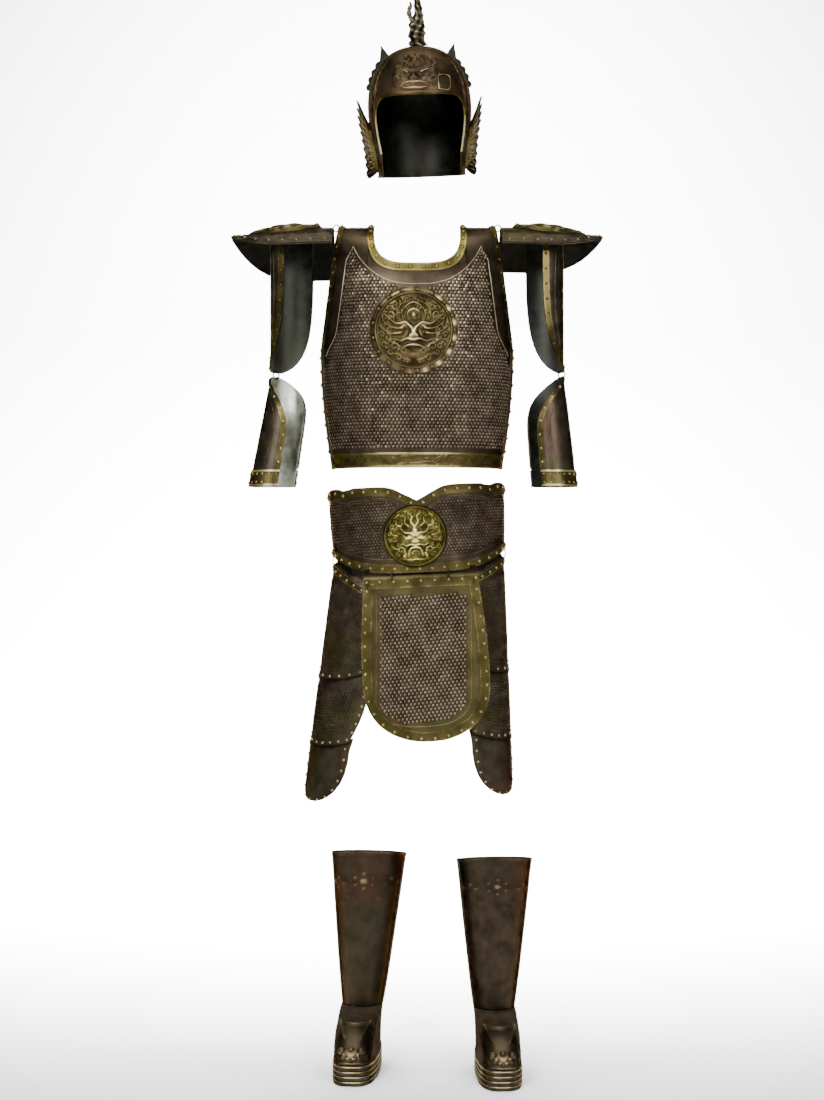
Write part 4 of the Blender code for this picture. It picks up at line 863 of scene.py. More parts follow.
        # painted highlight: the band is painted lighter in its middle, at the front
        middle = np.exp(-(u / 0.12) ** 2)
        return np.clip(0.8 * beadHigh(u, v) - 0.05 + 0.24 * middle + 0.17 * engraving(x, v), 0.0, 1.0)

    build = Build()
    plate(build, hem, 361, 13, torsoInside, 0.0012, hemLift, high=hemHigh, out=True)
    build.finish("hem_band", "brass", "suit", "aged_brass")
    print("cuirass made")


def disc(build, baseAt, radius, rise, dome, face, inside, size, rim, grooves):
    # square grid turned into a disc, domed, with the face in relief and a ring round it
    u, v = square(size, size)
    x, y = u * np.sqrt(1.0 - v * v / 2.0), v * np.sqrt(1.0 - u * u / 2.0)
    away = np.minimum(1.0, np.hypot(x, y))
    base = baseAt(radius * x, radius * y)
    normals = gridNormals(base, inside)
    scale = 1.0 / rim
    fade = blend((rim - 0.02 - away) / 0.06)
    small = curlRing(0.84, 10, 0.085, 0.026, 0.055) + curlRing(0.62, 7, 0.075, 0.026, 0.045)
    raised = relief(np.abs(x) * scale, y * scale, face["lumps"], face["lines"],
                    face["curls"] + small)
    ring = np.exp(-((away - rim) / 0.022) ** 2) * 0.050
    notch = 1.0
    if grooves:
        turn = np.arctan2(y, x)
        notch = 1.0 - 0.5 * blend((away - rim - 0.03) / 0.04) * (
            0.5 + 0.5 * np.cos(grooves * turn)) ** 6
    lift = rise + dome * arch(away, 2.2) * notch + radius * (raised * fade + ring)
    # painted light: the relief's crests and the ring are painted light as highlight, the flat ground
    # between them dark as shade
    high = np.clip(0.08 + 10.0 * raised * fade + 9.0 * ring, 0.0, 1.0)
    if grooves:
        # painted highlight: the lobes outside the ring are painted lighter towards the right and the bottom
        lobes = blend((away - rim - 0.02) / 0.03) * (0.5 + 0.5 * np.cos(grooves * turn + math.pi))
        high = np.clip(high + 0.42 * lobes * (1.2 + 0.9 * np.clip(x - 0.4 * y, -1.0, 1.0)), 0.0, 1.0)
    addShell(build, base + normals * lift[..., None], normals, lift - 0.0004, high=high)


def makeChestDisc():
    build = Build()
    across, up = cuirass["discPlace"]
    radius = cuirass["discRadius"]
    disc(build, lambda x, y: torsoAt(x + across, y + up), radius, 0.0021, 0.006, chestFace,
         torsoInside, 161, 0.86, 17)
    turn = np.arange(17) / 17.0 * math.tau
    places, normals = onSurface(torsoAt, across + 0.93 * radius * np.cos(turn),
                                up + 0.93 * radius * np.sin(turn), torsoInside)
    addRivets(build, places + normals * 0.0042, normals, 0.0034, 0, 0.45)
    build.finish("chest_medallion", "disc", "suit", "aged_brass")
    print("chest disc made")


# Helmet, in its own frame
helmet = {"place": (0.0096, -0.010, 0.103), "roll": -2.0, "pitch": 9.0, "height": 0.252,
          "waist": 0.130, "half": 0.103, "rim": 0.087, "depth": 1.16, "power": 2.25, "face": 0.154,
          "facePart": 0.42, "wall": 0.0020}


def helmetWidth(z):
    rise = blend(z / helmet["waist"])
    low = helmet["rim"] + (helmet["half"] - helmet["rim"]) * rise
    dome = np.clip((z - helmet["waist"]) / (helmet["height"] - helmet["waist"]), 0.0, 1.0)
    return np.where(z < helmet["waist"], low, helmet["half"] * arch(dome, helmet["power"]))


def helmetPoint(angle, z):
    width = helmetWidth(z)
    x, y = oval(angle, width, width * helmet["depth"], helmet["power"])
    return stack(x, y, z)


def helmetAngle(x, z):
    return np.arcsin(np.minimum(1.0, np.abs(x) / helmetWidth(z)) ** (helmet["power"] / 2.0))


def faceEdge(share):
    return helmet["face"] * arch(np.minimum(1.0, np.abs(share)), 6.0)


def helmetSurface(u, v):
    facePart, sideAngle = helmet["facePart"], math.radians(58.0)
    share = np.where(np.abs(u) < facePart, np.sin(math.pi / 2.0 * u / facePart), 1.0)
    rear = np.copysign(sideAngle + (math.pi - sideAngle) * (np.abs(u) - facePart) / (1.0 - facePart), u)
    angle = np.where(np.abs(u) < facePart, sideAngle * share, rear)
    low = faceEdge(share)
    top = helmet["waist"] + (helmet["height"] - helmet["waist"]) * arch(0.04, helmet["power"])
    rise = (v + 1.0) / 2.0
    climb = 1.0 - (1.0 - rise) ** np.where(low < helmet["waist"], 1.5, 1.9)
    return helmetPoint(angle, low + (top - low) * climb)


helmetInside = spine(0.0, 0.0, 0.05, 0.14)
helmetFrame = np.array(Matrix.Translation(helmet["place"]) @ Matrix.Rotation(
    math.radians(helmet["roll"]), 4, "Y") @ Matrix.Rotation(math.radians(helmet["pitch"]), 4, "X"))


def makeHelmet():
    build = Build()
    facePart = helmet["facePart"]

    def engraved(u, v):
        # shallow scrolls on the sides of the brow and ribs that rise to the crown
        band = np.exp(-((np.abs(u) - 0.36) / 0.10) ** 2) * blend((v + 0.9) / 0.3) * blend((0.3 - v) / 0.3)
        scrolls = np.sin(u * 90.0 + 3.0 * np.sin(v * 9.0)) * np.sin(v * 26.0 + 2.0 * np.sin(u * 30.0))
        return 0.0011 * band * scrolls

    # painted light: the engraving's crests are painted light as highlight and its grooves dark as shade
    points, normals = plate(build, helmetSurface, 241, 71, helmetInside, helmet["wall"], engraved,
                            inner=1, coarse=2,
                            high=lambda u, v: np.clip(0.5 + 420.0 * engraved(u, v), 0.1, 0.95))
    # bright rolled edge round the face opening, and a crown cap
    columns = np.linspace(-1.0, 1.0, 241)
    mouth = np.abs(columns) <= facePart
    edge = points[0][mouth] + normals[0][mouth] * 0.0002
    sideShare = np.abs(np.sin(math.pi / 2.0 * columns[mouth] / facePart))
    gleam = np.repeat(0.10 + 0.85 * blend((sideShare - 0.92) / 0.08), 8)
    addTube(build, edge, normals[0][mouth], 0.0019, material=2, high=gleam, segments=8)
    addTube(build, points[0], normals[0], 0.0016, high=0.6)
    cap = np.linspace(0.0, math.tau, 24, endpoint=False)
    crown = stack(0.012 * np.cos(cap), 0.013 * np.sin(cap), np.full(24, helmet["height"] + 0.0005))
    centre = np.array([[0.0, 0.0, helmet["height"] + 0.003]])
    index = np.arange(24)
    build.add(np.concatenate([crown, centre]), None,
              np.stack([index, np.roll(index, -1), np.full(24, 24)], axis=-1))
    # small framed plaque at the wearer's left of the brow
    plaque = np.array([(-0.5, -0.5), (0.5, -0.5), (0.5, 0.5), (-0.5, 0.5), (-0.5, -0.5)])
    line = smoothLine(plaque, 6) * np.array([0.019, 0.024]) + np.array([0.046, 0.173])
    at, out = onSurface(lambda x, z: helmetPoint(np.copysign(helmetAngle(x, z), x), z),
                        line[:, 0], line[:, 1], helmetInside)
    addTube(build, at + out * 0.0042, out, 0.0007, material=2, high=0.7)
    build.finish("helmet_skull", "skull inner gilt", "suit", "dark_bronze", helmetFrame)

    build = Build()
    base = helmet["face"] + 0.006
    reach = helmetAngle(np.array(0.056), np.array(helmet["face"]))

    def brow(u, v):
        z = base + 0.074 * (v + 1.0) / 2.0
        return helmetPoint(reach * u * (1.0 - 0.25 * blend(v)), z)

    def browLift(u, v):
        x, y = np.abs(5.6 * u + 0.9), 7.4 * (v + 1.0) / 2.0
        fade = blend((1.0 - np.abs(u)) / 0.10) * blend((1.0 - v) / 0.12) * blend((v + 1.0) / 0.04)
        return (0.01 * fade * relief(x, y, browFace["lumps"], browFace["lines"], browFace["curls"]),
                0.01 * fade * relief(x, y, [], browGleam))

    def browHigh(u, v):
        form, gleam = browLift(u, v)
        # painted light: the relief's crests are painted lighter as highlight, and the eye and lip lines
        # gleam
        return np.clip(0.34 + 18.0 * form + 130.0 * gleam, 0.0, 0.98)

    plate(build, brow, 151, 101, helmetInside, borderWall, lambda u, v: 0.0006 + sum(browLift(u, v)),
          high=browHigh, out=True)
    build.finish("helmet_beast_mask", "skull", "suit", "dark_bronze", helmetFrame)

    for name, side in sides.items():
        makeWing(name, side)
        makeFin(name, side)
    makeFinial()
    print("helmet made")


def makeWing(name, side):
    # overlapping blades: each spans a share of the wing's height and bends out with its reach
    build = Build()
    count = 10

    def wing(tall, reach, raised):
        z = 0.016 + 0.070 * tall + reach * (-0.020 + 0.098 * tall)
        angle = math.radians(66.0) + reach * np.radians(30.0 + 14.0 * np.sin(math.pi * np.clip(tall, 0, 1)))
        away = unit(np.array([side * 0.93, 0.25, 0.0]))
        lift = 0.0012 + 0.026 * np.abs(reach) ** 1.6 + raised
        return helmetPoint(side * angle, z) + away * np.asarray(lift)[..., None]

    for layer, share in ((0, 1.0), (1, 0.62), (2, 0.34)):
        for index in range(count - layer):
            middle = (index + 0.5 + 0.5 * layer) / count
            u, v = square(17, 9)
            along, across = (v + 1.0) / 2.0, u
            half = 0.075 * np.sqrt(np.maximum(0.0, 1.0 - along ** 5)) * (0.75 + 0.45 * along)
            length = share * (0.86 + 0.14 * math.sin(math.pi * (0.2 + 0.7 * middle)))
            quill = 0.0016 * np.exp(-(across / 0.22) ** 2) * (1.0 - along)
            tilt = 0.0011 * across * (1.0 if layer == 0 else 0.7)
            swell = 0.0012 * (1.0 - across ** 2) * (1.0 - 0.5 * along)
            points = wing(middle + half * across, along * length,
                          quill + tilt + swell + 0.0024 * layer)
            normals = gridNormals(points, spine(0.0, 0.0, 0.0, 0.2))
            # painted light: each blade's quill and edges are painted lighter as highlight, and blades lying
            # over others lighter than those beneath, which are painted darker as shade
            high = np.clip(0.28 + 0.5 * np.exp(-(across / 0.2) ** 2) + 0.35 * layer * 0.5
                           + 0.35 * np.exp(-((np.abs(across) - 0.95) / 0.15) ** 2), 0.0, 1.0)
            addShell(build, points, normals, 0.0009, high=high, coarse=1)
    # root of the wing: a beaded band
    tall = np.linspace(-0.02, 1.02, 60)
    root = wing(tall, np.full(60, 0.02), np.full(60, 0.006))
    out = np.broadcast_to(unit(np.array([side * 0.6, -0.8, 0.0])), root.shape)
    addTube(build, root, out, 0.0030, material=1, high=0.50)
    build.finish("helmet_wing_" + name, "wing gilt", "suit", "aged_brass", helmetFrame)


def makeFin(name, side):
    # jagged crest standing on the dome: height 3 + 4 |sin 5 pi t| + 24 t^14 mm
    build = Build()
    u, v = square(9, 61)
    along, out = (u + 1.0) / 2.0, (v + 1.0) / 2.0
    z = 0.168 + 0.068 * along
    height = 0.003 + 0.004 * np.abs(np.sin(5.0 * math.pi * along)) + 0.024 * along ** 14
    base = helmetPoint(side * math.radians(84.0) + 0.0 * z, z)
    away = unit(stack(base[..., 0], 0.0, 1.3 * along * np.abs(base[..., 0])))
    points = base + away * (out * (height + 0.006) - 0.006)[..., None]
    thick = 0.0032 * (1.0 - 0.6 * out) + 0.0008 * np.sin(out * 9.0)
    front = points + np.array([0.0, -0.5, 0.0]) * thick[..., None] - np.array([0.0, 0.0005, 0.0])
    addShell(build, front, np.broadcast_to([0.0, -1.0, 0.0], front.shape).astype(float),
             0.0032, high=0.45, coarse=1)
    build.finish("helmet_fin_" + name, "inner", "suit", "dark_bronze", helmetFrame)


finialSections = np.array([
    # up, across, half width, half depth
    (0.000, 0.000, 0.0160, 0.0085), (0.005, 0.000, 0.0150, 0.0085), (0.011, 0.000, 0.0118, 0.0070),
    (0.018, 0.000, 0.0142, 0.0080), (0.025, 0.000, 0.0146, 0.0080), (0.031, 0.000, 0.0120, 0.0066),
    (0.038, -0.001, 0.0138, 0.0070), (0.045, 0.001, 0.0122, 0.0068), (0.052, 0.003, 0.0098, 0.0066),
    (0.059, 0.004, 0.0086, 0.0066), (0.066, 0.004, 0.0066, 0.0055), (0.074, 0.003, 0.0070, 0.0055),
    (0.082, 0.003, 0.0058, 0.0052), (0.092, 0.002, 0.0054, 0.0046), (0.102, 0.001, 0.0040, 0.0038),
    (0.112, 0.001, 0.0026, 0.0026), (0.119, 0.0018, 0.0014, 0.0014), (0.122, 0.002, 0.0004, 0.0004)])


def makeFinial():
    build = Build()
    table = smoothLine(finialSections, 7)
    turn = np.linspace(0.0, math.tau, 32, endpoint=False)
    up = table[:, 0:1]
    ribs = 1.12 * (1.0 + 0.12 * np.cos(5.0 * turn[None] + 3.0 * np.sin(up * 90.0))
            + 0.07 * np.sin(up * 520.0 + 2.0 * np.cos(turn[None])))
    x = table[:, 1:2] + np.maximum(0.0003, table[:, 2:3]) * np.cos(turn)[None] * ribs
    y = np.maximum(0.0003, table[:, 3:4]) * np.sin(turn)[None] * ribs
    points = stack(x, y, up + helmet["height"] + 0.0006)
    quads = gridQuads(len(table), 32, True, True)
    if not facing(points, points - stack(table[:, 1:2] + 0.0 * x, 0.0 * y, points[..., 2]), quads):
        quads = quads[:, ::-1]
    # painted light: the rib crests are painted light as gold highlight and the grooves between them dark as
    # shade
    build.add(points, quads, high=np.clip(2.6 * (ribs - 1.0), 0.0, 0.90))
    base = points[0]
    index = np.arange(32)
    build.add(np.concatenate([base, base.mean(axis=0, keepdims=True)]), None,
              np.stack([np.roll(index, -1), index, np.full(32, 32)], axis=-1))
    branch = smoothLine([(-0.006, 0.0, 0.046), (-0.013, 0.0, 0.058), (-0.0145, -0.001, 0.070),
                         (-0.0105, 0.0, 0.079), (-0.0125, 0.0, 0.086)], 8)
    branch[:, 2] += helmet["height"]
    ends = np.linspace(0.0, 1.0, len(branch))
    radius = 0.0050 * (1.0 - 0.75 * ends ** 3) * (1.0 + 0.16 * np.sin(ends * 22.0))
    addTube(build, branch, np.broadcast_to([0.0, -1.0, 0.0], branch.shape), radius, high=0.6,
            segments=12)
    build.finish("helmet_finial", "plain", "suit", "dark_bronze", helmetFrame)


# Shoulders
pauldron = {"inner": 0.1665, "length": 0.206, "front": 0.095, "back": 0.125, "frontDroop": 4.7,
            "backDroop": {"right": 5.7, "left": 4.6}, "tipDrop": 0.020,
            "crestMiddle": 0.262, "crestHalf": 0.072}


def pauldronHeight(x, y):
    along = np.maximum(0.0, (np.abs(x) - pauldron["inner"]) / pauldron["length"])
    back = np.where(x < 0.0, pauldron["backDroop"]["right"], pauldron["backDroop"]["left"])
    droop = np.where(y < 0.0, pauldron["frontDroop"], back)
    return -pauldron["tipDrop"] * along ** 2 - droop * y * y


def below(points):
    return points * np.array([1.0, 1.0, 0.0]) - np.array([0.0, 0.0, 1.0])


def makePauldron(name, side):
    def leaf(u, v):
        along = towardEnd((u + 1.0) / 2.0) * 0.995
        taper = np.sqrt(np.maximum(0.0, 1.0 - along ** 4))
        x = side * (pauldron["inner"] + pauldron["length"] * along)
        y = v * np.where(v < 0.0, pauldron["front"], pauldron["back"]) * taper
        return stack(x, y, pauldronHeight(x, y))

    def rim(u, v):
        angle = u * math.pi / 2.0
        along = np.sqrt(np.abs(np.cos(angle)))
        inset = 0.001 + 0.013 * (1.0 - v) / 2.0
        half = np.where(u < 0.0, pauldron["front"], pauldron["back"])
        x = side * (pauldron["inner"] + 0.0008 + (pauldron["length"] - inset - 0.001) * along)
        y = (half - inset) * np.sin(angle)
        return stack(x, y, pauldronHeight(x, y))

    def crest(u, v):
        x = side * (pauldron["crestMiddle"] + pauldron["crestHalf"] * u)
        y = 0.054 * v * np.sqrt(np.maximum(0.05, 1.0 - 0.8 * u * u))
        return stack(x, y, pauldronHeight(x, y))

    def crestRelief(u, v):
        # a coiling body with scroll ends on both sides
        path = [(-0.95, -0.20), (-0.70, 0.35), (-0.35, 0.05), (-0.05, -0.45), (0.30, -0.10),
                (0.60, 0.40), (0.92, 0.05)]
        lines = [(0.15, 0.0075, path), (0.07, 0.0050, [(-0.5, -0.75), (-0.2, -0.85), (0.1, -0.78)]),
                 (0.07, 0.0050, [(0.2, 0.72), (0.45, 0.85), (0.75, 0.70)]),
                 (0.06, 0.0045, [(-0.75, -0.55), (-0.55, -0.40), (-0.42, -0.62)]),
                 (0.06, 0.0045, [(0.40, -0.55), (0.62, -0.45), (0.80, -0.60)])]
        curls = [(-0.35, 0.60, 0.20, 0, 400, 0.06, 0.0050), (0.20, -0.75, 0.18, 180, -400, 0.05, 0.0045),
                 (0.10, 0.45, 0.18, 90, 380, 0.05, 0.0045)]
        fade = blend((1.0 - np.abs(u)) / 0.12) * blend((1.0 - np.abs(v)) / 0.12)
        return fade * (0.0045 * np.exp(-(v / 0.7) ** 2) * (1.0 - u * u)
                       + relief(u, v, [], lines, curls))

    body = "pauldron_" + name
    build = Build()
    plate(build, leaf, 61, 61, below, plateWall, inner=1, high=0.42)
    # two engraved lines that follow the rim
    for inset in (0.022, 0.027):
        angle = np.linspace(-math.pi / 2.0, math.pi / 2.0, 121)
        along = np.sqrt(np.abs(np.cos(angle)))
        half = np.where(angle < 0.0, pauldron["front"], pauldron["back"])
        x = side * (pauldron["inner"] + 0.002 + (pauldron["length"] - inset) * along)
        y = (half - inset) * np.sin(angle)
        points, normals = onSurface(lambda p, q: stack(p, q, pauldronHeight(p, q)), x, y, below)
        addTube(build, points, normals, 0.0008, high=0.55)
    # the underside takes the near-black finish: painted shade under the shoulder guard over its dark inside
    build.finish("pauldron_" + name, "plain black", body, "dark_bronze")
    build = Build()
    points, normals = border(build, rim, 181, 7, below, high=lambda u, v: 0.6 * beadHigh(u, v))
    rivetRow(build, points[3], normals[3], 0.0280, 0.0030, 0.014, high=0.75)
    build.finish("pauldron_border_" + name, "plain", body, "aged_brass")
    build = Build()
    # painted light: the relief's crests are painted lighter as highlight and its low ground darker
    plate(build, crest, 121, 81, below, borderWall, lambda u, v: 0.0009 + crestRelief(u, v),
          high=lambda u, v: np.clip(0.20 + 50.0 * crestRelief(u, v), 0.0, 0.86), out=True)
    build.finish("pauldron_crest_" + name, "olive", body, "gilt_brass")


# Arms
arm = {"centre": 0.2465, "radius": 0.047, "top": {"right": -0.0203, "left": -0.0179}, "tip": -0.290,
       "wrap": 106.0, "turn": {"right": 36.0, "left": 18.0}, "lowTop": -0.2945, "lowBottom": -0.518,
       "lowCentre": {"right": 0.290, "left": 0.274}, "lowTopRadius": 0.0405,
       "lowBottomRadius": 0.0458, "lowWrap": 143.0, "cuff": 0.033}


def armPoint(side, turn, angle, z, centre, radius):
    return stack(side * (centre + radius * np.cos(turn + angle)), radius * np.sin(turn + angle), z)


def leafEdge(u, inset, length, halfWidthAt):
    tip = 0.16
    turn = 1.0 - (np.abs(u) - tip) / (1.0 - tip)
    share = np.where(np.abs(u) < tip, u / tip, np.copysign(1.0, u))
    along = np.where(np.abs(u) < tip, 1.0, towardEnd(np.minimum(turn, 1.0)))
    along = along * (0.995 - inset / length)
    return share * (1.0 - inset / np.maximum(0.012, halfWidthAt(along))), along


def upperWrap(along):
    return math.radians(arm["wrap"]) * np.maximum(0.0, 1.0 - along ** 4) ** 0.4545


def lowerWrap(along):
    reach = np.clip(along * (arm["lowTop"] - arm["lowBottom"]) / 0.120, 0.0, 1.0)
    return math.radians(arm["lowWrap"]) * np.sin(math.pi / 2.0 * reach) ** 0.6


def forearmPoint(name, side, angle, along):
    turn = math.radians(arm["turn"][name])
    centre = arm["centre"] + (arm["lowCentre"][name] - arm["centre"]) * along
    radius = arm["lowTopRadius"] + (arm["lowBottomRadius"] - arm["lowTopRadius"]) * along
    z = arm["lowTop"] + (arm["lowBottom"] - arm["lowTop"]) * along
    shift = (arm["radius"] - arm["lowTopRadius"]) * (1.0 - along)
    out = np.array([side * math.cos(turn), math.sin(turn), 0.0])
    return armPoint(side, turn, angle, z, centre, radius) + out * np.asarray(shift)[..., None]


def makeArm(name, side):
    turn, top = math.radians(arm["turn"][name]), arm["top"][name]
    inside = spine(side * arm["centre"], 0.0, -1.0, 1.0)
    length = top - arm["tip"]

    def upperAt(share, along):
        z = top - length * along
        return armPoint(side, turn, share * upperWrap(along), z, arm["centre"], arm["radius"])

    def upper(u, v):
        return upperAt(u, np.sin((1.0 - v) / 2.0 * 1.45) / math.sin(1.45) * 0.996)

    def upperRim(u, v):
        inset = 0.0008 + 0.0115 * (1.0 - v) / 2.0
        return upperAt(*leafEdge(u, inset, length, lambda place: arm["radius"] * upperWrap(place)))

    body = "upper_arm_" + name
    build = Build()
    plate(build, upper, 61, 61, inside, plateWall, inner=1)
    engraveLines(build, upperAt, inside, [(-0.62, 0.05, 0.88), (0.30, 0.05, 0.80)])
    build.finish("upper_arm_guard_" + name, "plain armInner", body, "dark_bronze")
    build = Build()
    points, normals = border(build, upperRim, 201, 7, inside)
    rivetRow(build, points[3], normals[3], 0.0300, 0.0028, 0.010, high=0.5)
    build.finish("upper_arm_border_" + name, "brass", body, "aged_brass")

    body = "forearm_" + name
    inside = spine(side * (arm["centre"] + 0.012), 0.0, -1.0, 1.0)
    length = arm["lowTop"] - arm["lowBottom"]

    def lowerAt(share, along):
        return forearmPoint(name, side, share * lowerWrap(along), along)

    def lower(u, v):
        return lowerAt(u, 0.004 + 0.996 * ((1.0 - v) / 2.0) ** 1.4)

    def lowerRim(u, v):
        inset = 0.0008 + 0.0115 * (1.0 - v) / 2.0
        share, along = leafEdge(u, inset, length, lambda place: arm["radius"] * lowerWrap(1.0 - place))
        return lowerAt(share, 1.0 - along - (1.0 - 0.835) * (1.0 - along))

    def cuff(u, v):
        return lowerAt(0.99 * u, 0.999 - arm["cuff"] / length * (v + 1.0) / 2.0)

    build = Build()
    plate(build, lower, 91, 61, inside, plateWall, inner=1)
    engraveLines(build, lambda share, along: lowerAt(share, 0.80 - 0.78 * along), inside,
                 [(-0.10, 0.0, 0.86), (0.0, 0.0, 0.90), (-0.68, 0.0, 0.72), (0.62, 0.0, 0.78)])
    build.finish("forearm_guard_" + name, "plain silver" if name == "right" else "plain armInner",
                 body, "dark_bronze")
    build = Build()
    points, normals = border(build, lowerRim, 201, 7, inside)
    rivetRow(build, points[3], normals[3], 0.0270, 0.0026, 0.012, high=0.85)
    build.finish("forearm_border_" + name, "brass", body, "aged_brass")
    build = Build()
    points, normals = border(build, cuff, 121, 13, inside)
    for row in (3, 9):
        rivetRow(build, points[row], normals[row], 0.0135, 0.0027, 0.006, high=0.70)
    build.finish("cuff_band_" + name, "brass", body, "aged_brass")


def engraveLines(build, surfaceAt, inside, lines):
    # raised lines down a plate: (share across, start, end), curved outward by 0.08 sin
    for share, start, end in lines:
        along = np.linspace(start, end, 60)
        across = share + 0.08 * np.sin(along * math.pi) * np.sign(share)
        points, normals = onSurface(surfaceAt, across, along, inside, (0.002, 0.002))
        addTube(build, points, normals, 0.0008, high=0.62)


# Belt, in the belt's frame
belt = {"place": (0.0016, 0.0, -0.600), "roll": -2.5, "top": 0.082, "bottom": -0.088, "rise": 0.040,
        "topHalf": 0.176, "bottomHalf": 0.170, "depth": 0.122, "power": 2.4,
        "discPlace": (-0.0062, -0.017), "discRadius": 0.061, "scale": (0.0066, 0.0058, 0.0011)}


def beltTop(x):
    dip = 0.029 * np.exp(-(x / 0.034) ** 2)
    notch = 0.006 * np.exp(-((np.abs(x) - 0.135) / 0.008) ** 2)
    corner = 0.012 * blend((np.abs(x) - 0.160) / 0.016)
    return belt["top"] - dip - notch - corner


def beltBottom(x):
    return belt["bottom"] + belt["rise"] * np.minimum(1.0, np.abs(x) / belt["bottomHalf"]) ** 4


def beltPoint(angle, share):
    x, y = oval(angle, belt["bottomHalf"], belt["depth"], belt["power"])
    z = beltBottom(x) + (beltTop(x) - beltBottom(x)) * share
    rise = (z - belt["bottom"]) / (belt["top"] - belt["bottom"])
    swell = 1.0 + (belt["topHalf"] / belt["bottomHalf"] - 1.0) * rise
    return stack(x * swell, y * swell, z)


def beltAt(x, z):
    angle = np.arcsin(np.minimum(1.0, np.abs(x) / belt["bottomHalf"]) ** (belt["power"] / 2.0))
    share = (z - beltBottom(x)) / (beltTop(x) - beltBottom(x))
    return beltPoint(np.copysign(angle, x), share)


beltInside = spine(0.0, 0.0, -0.05, 0.05)
beltFrame = np.array(Matrix.Translation(belt["place"])
                     @ Matrix.Rotation(math.radians(belt["roll"]), 4, "Y"))


def beltWave(x, drop):
    # wavy line that follows the upper edge
    return beltTop(x) - drop - 0.004 * np.sin(np.abs(x) * 62.0 + 0.6)


def makeBelt():
    gapShare = 0.9975

    def band(u, v):
        return beltPoint(u * math.pi * gapShare, (v + 1.0) / 2.0)

    build = Build()
    plate(build, band, 241, 41, beltInside, plateWall, inner=1)
    xs = np.linspace(0.0, 0.1695, 400)
    chart = arcTable(xs, beltAt(xs, np.zeros(400))[..., 1])
    wide, tall, high = belt["scale"]
    a, b = lattice(0.26, belt["bottom"], belt["top"], wide, tall, 0.02)
    x = np.sign(a) * np.interp(np.abs(a), chart, xs)
    across, up = belt["discPlace"]
    keep = ((np.abs(a) < chart[-1]) & (b < beltWave(x, 0.031)) & (b > beltBottom(x) + 0.033)
            & (np.hypot(x - across, b - up) > belt["discRadius"] + 0.004))
    addScales(build, beltAt, x[keep], b[keep], beltInside, (wide, tall, high), glint=0.80)
    lineX = np.linspace(-0.168, 0.168, 241)
    for line, radius in ((beltWave(lineX, 0.022), 0.0006), (beltWave(lineX, 0.0265), 0.0006),
                         (beltBottom(lineX) + 0.027, 0.0006)):
        points, normals = onSurface(beltAt, lineX, line, beltInside)
        addTube(build, points, normals, radius, high=0.66)
    build.finish("belt", "bronze inner", "suit", "dark_bronze", beltFrame)
    for name, low in (("lower", True), ("upper", False)):
        def strip(u, v, low=low):
            width = (0.0006 + 0.013 * (v + 1.0) / 2.0) / 0.130
            return beltPoint(u * math.pi * gapShare, width if low else 1.0 - width)

        def stripHigh(u, v, low=low):
            return beadHigh(u, v) * (0.95 if low else 0.72)
        build = Build()
        points, normals = border(build, strip, 321, 7, beltInside, high=stripHigh)
        rivetRow(build, points[3], normals[3], 0.0245, 0.0029, 0.008, high=0.74)
        build.finish("belt_border_" + name, "brass", "suit", "aged_brass", beltFrame)
    build = Build()
    disc(build, lambda x, y: beltAt(x + across, y + up), belt["discRadius"], 0.0025, 0.009, beltFace,
         beltInside, 151, 0.93, 0)
    build.finish("belt_medallion", "gilt", "suit", "gilt_brass", beltFrame)
    print("belt made")


# Apron
apron = {"x": 0.001, "drift": 0.012, "ringX": 0.055, "length": 0.322, "topHalf": 0.111,
         "half": 0.1245, "curve": 0.25, "ring": 0.0085, "margin": 0.0042,
         "fieldX": 0.0056, "fieldDrift": -0.045, "fieldTop": 0.036, "fieldBottom": 0.287,
         "fieldHalf": 0.0885, "fieldFoot": 0.060, "tuck": 0.018, "step": 0.0045,
         "scale": (0.0078, 0.0068, 0.0016)}


def apronWidth(along):
    grown = apron["half"] - apron["topHalf"]
    edge = apron["topHalf"] + grown * np.sin(math.pi / 2.0 * np.minimum(1.0, along / 0.6))
    return edge * np.sqrt(np.maximum(0.0, 1.0 - np.maximum(0.0, (along - 0.6) / 0.4) ** 2.8))


def sag(x):
    return belt["depth"] * (1.0 - arch(np.abs(x) / apron["curve"], 2.4))


def ahead(points):
    return points * np.array([1.0, 0.0, 1.0]) + np.array([0.0, 1.0, 0.0])


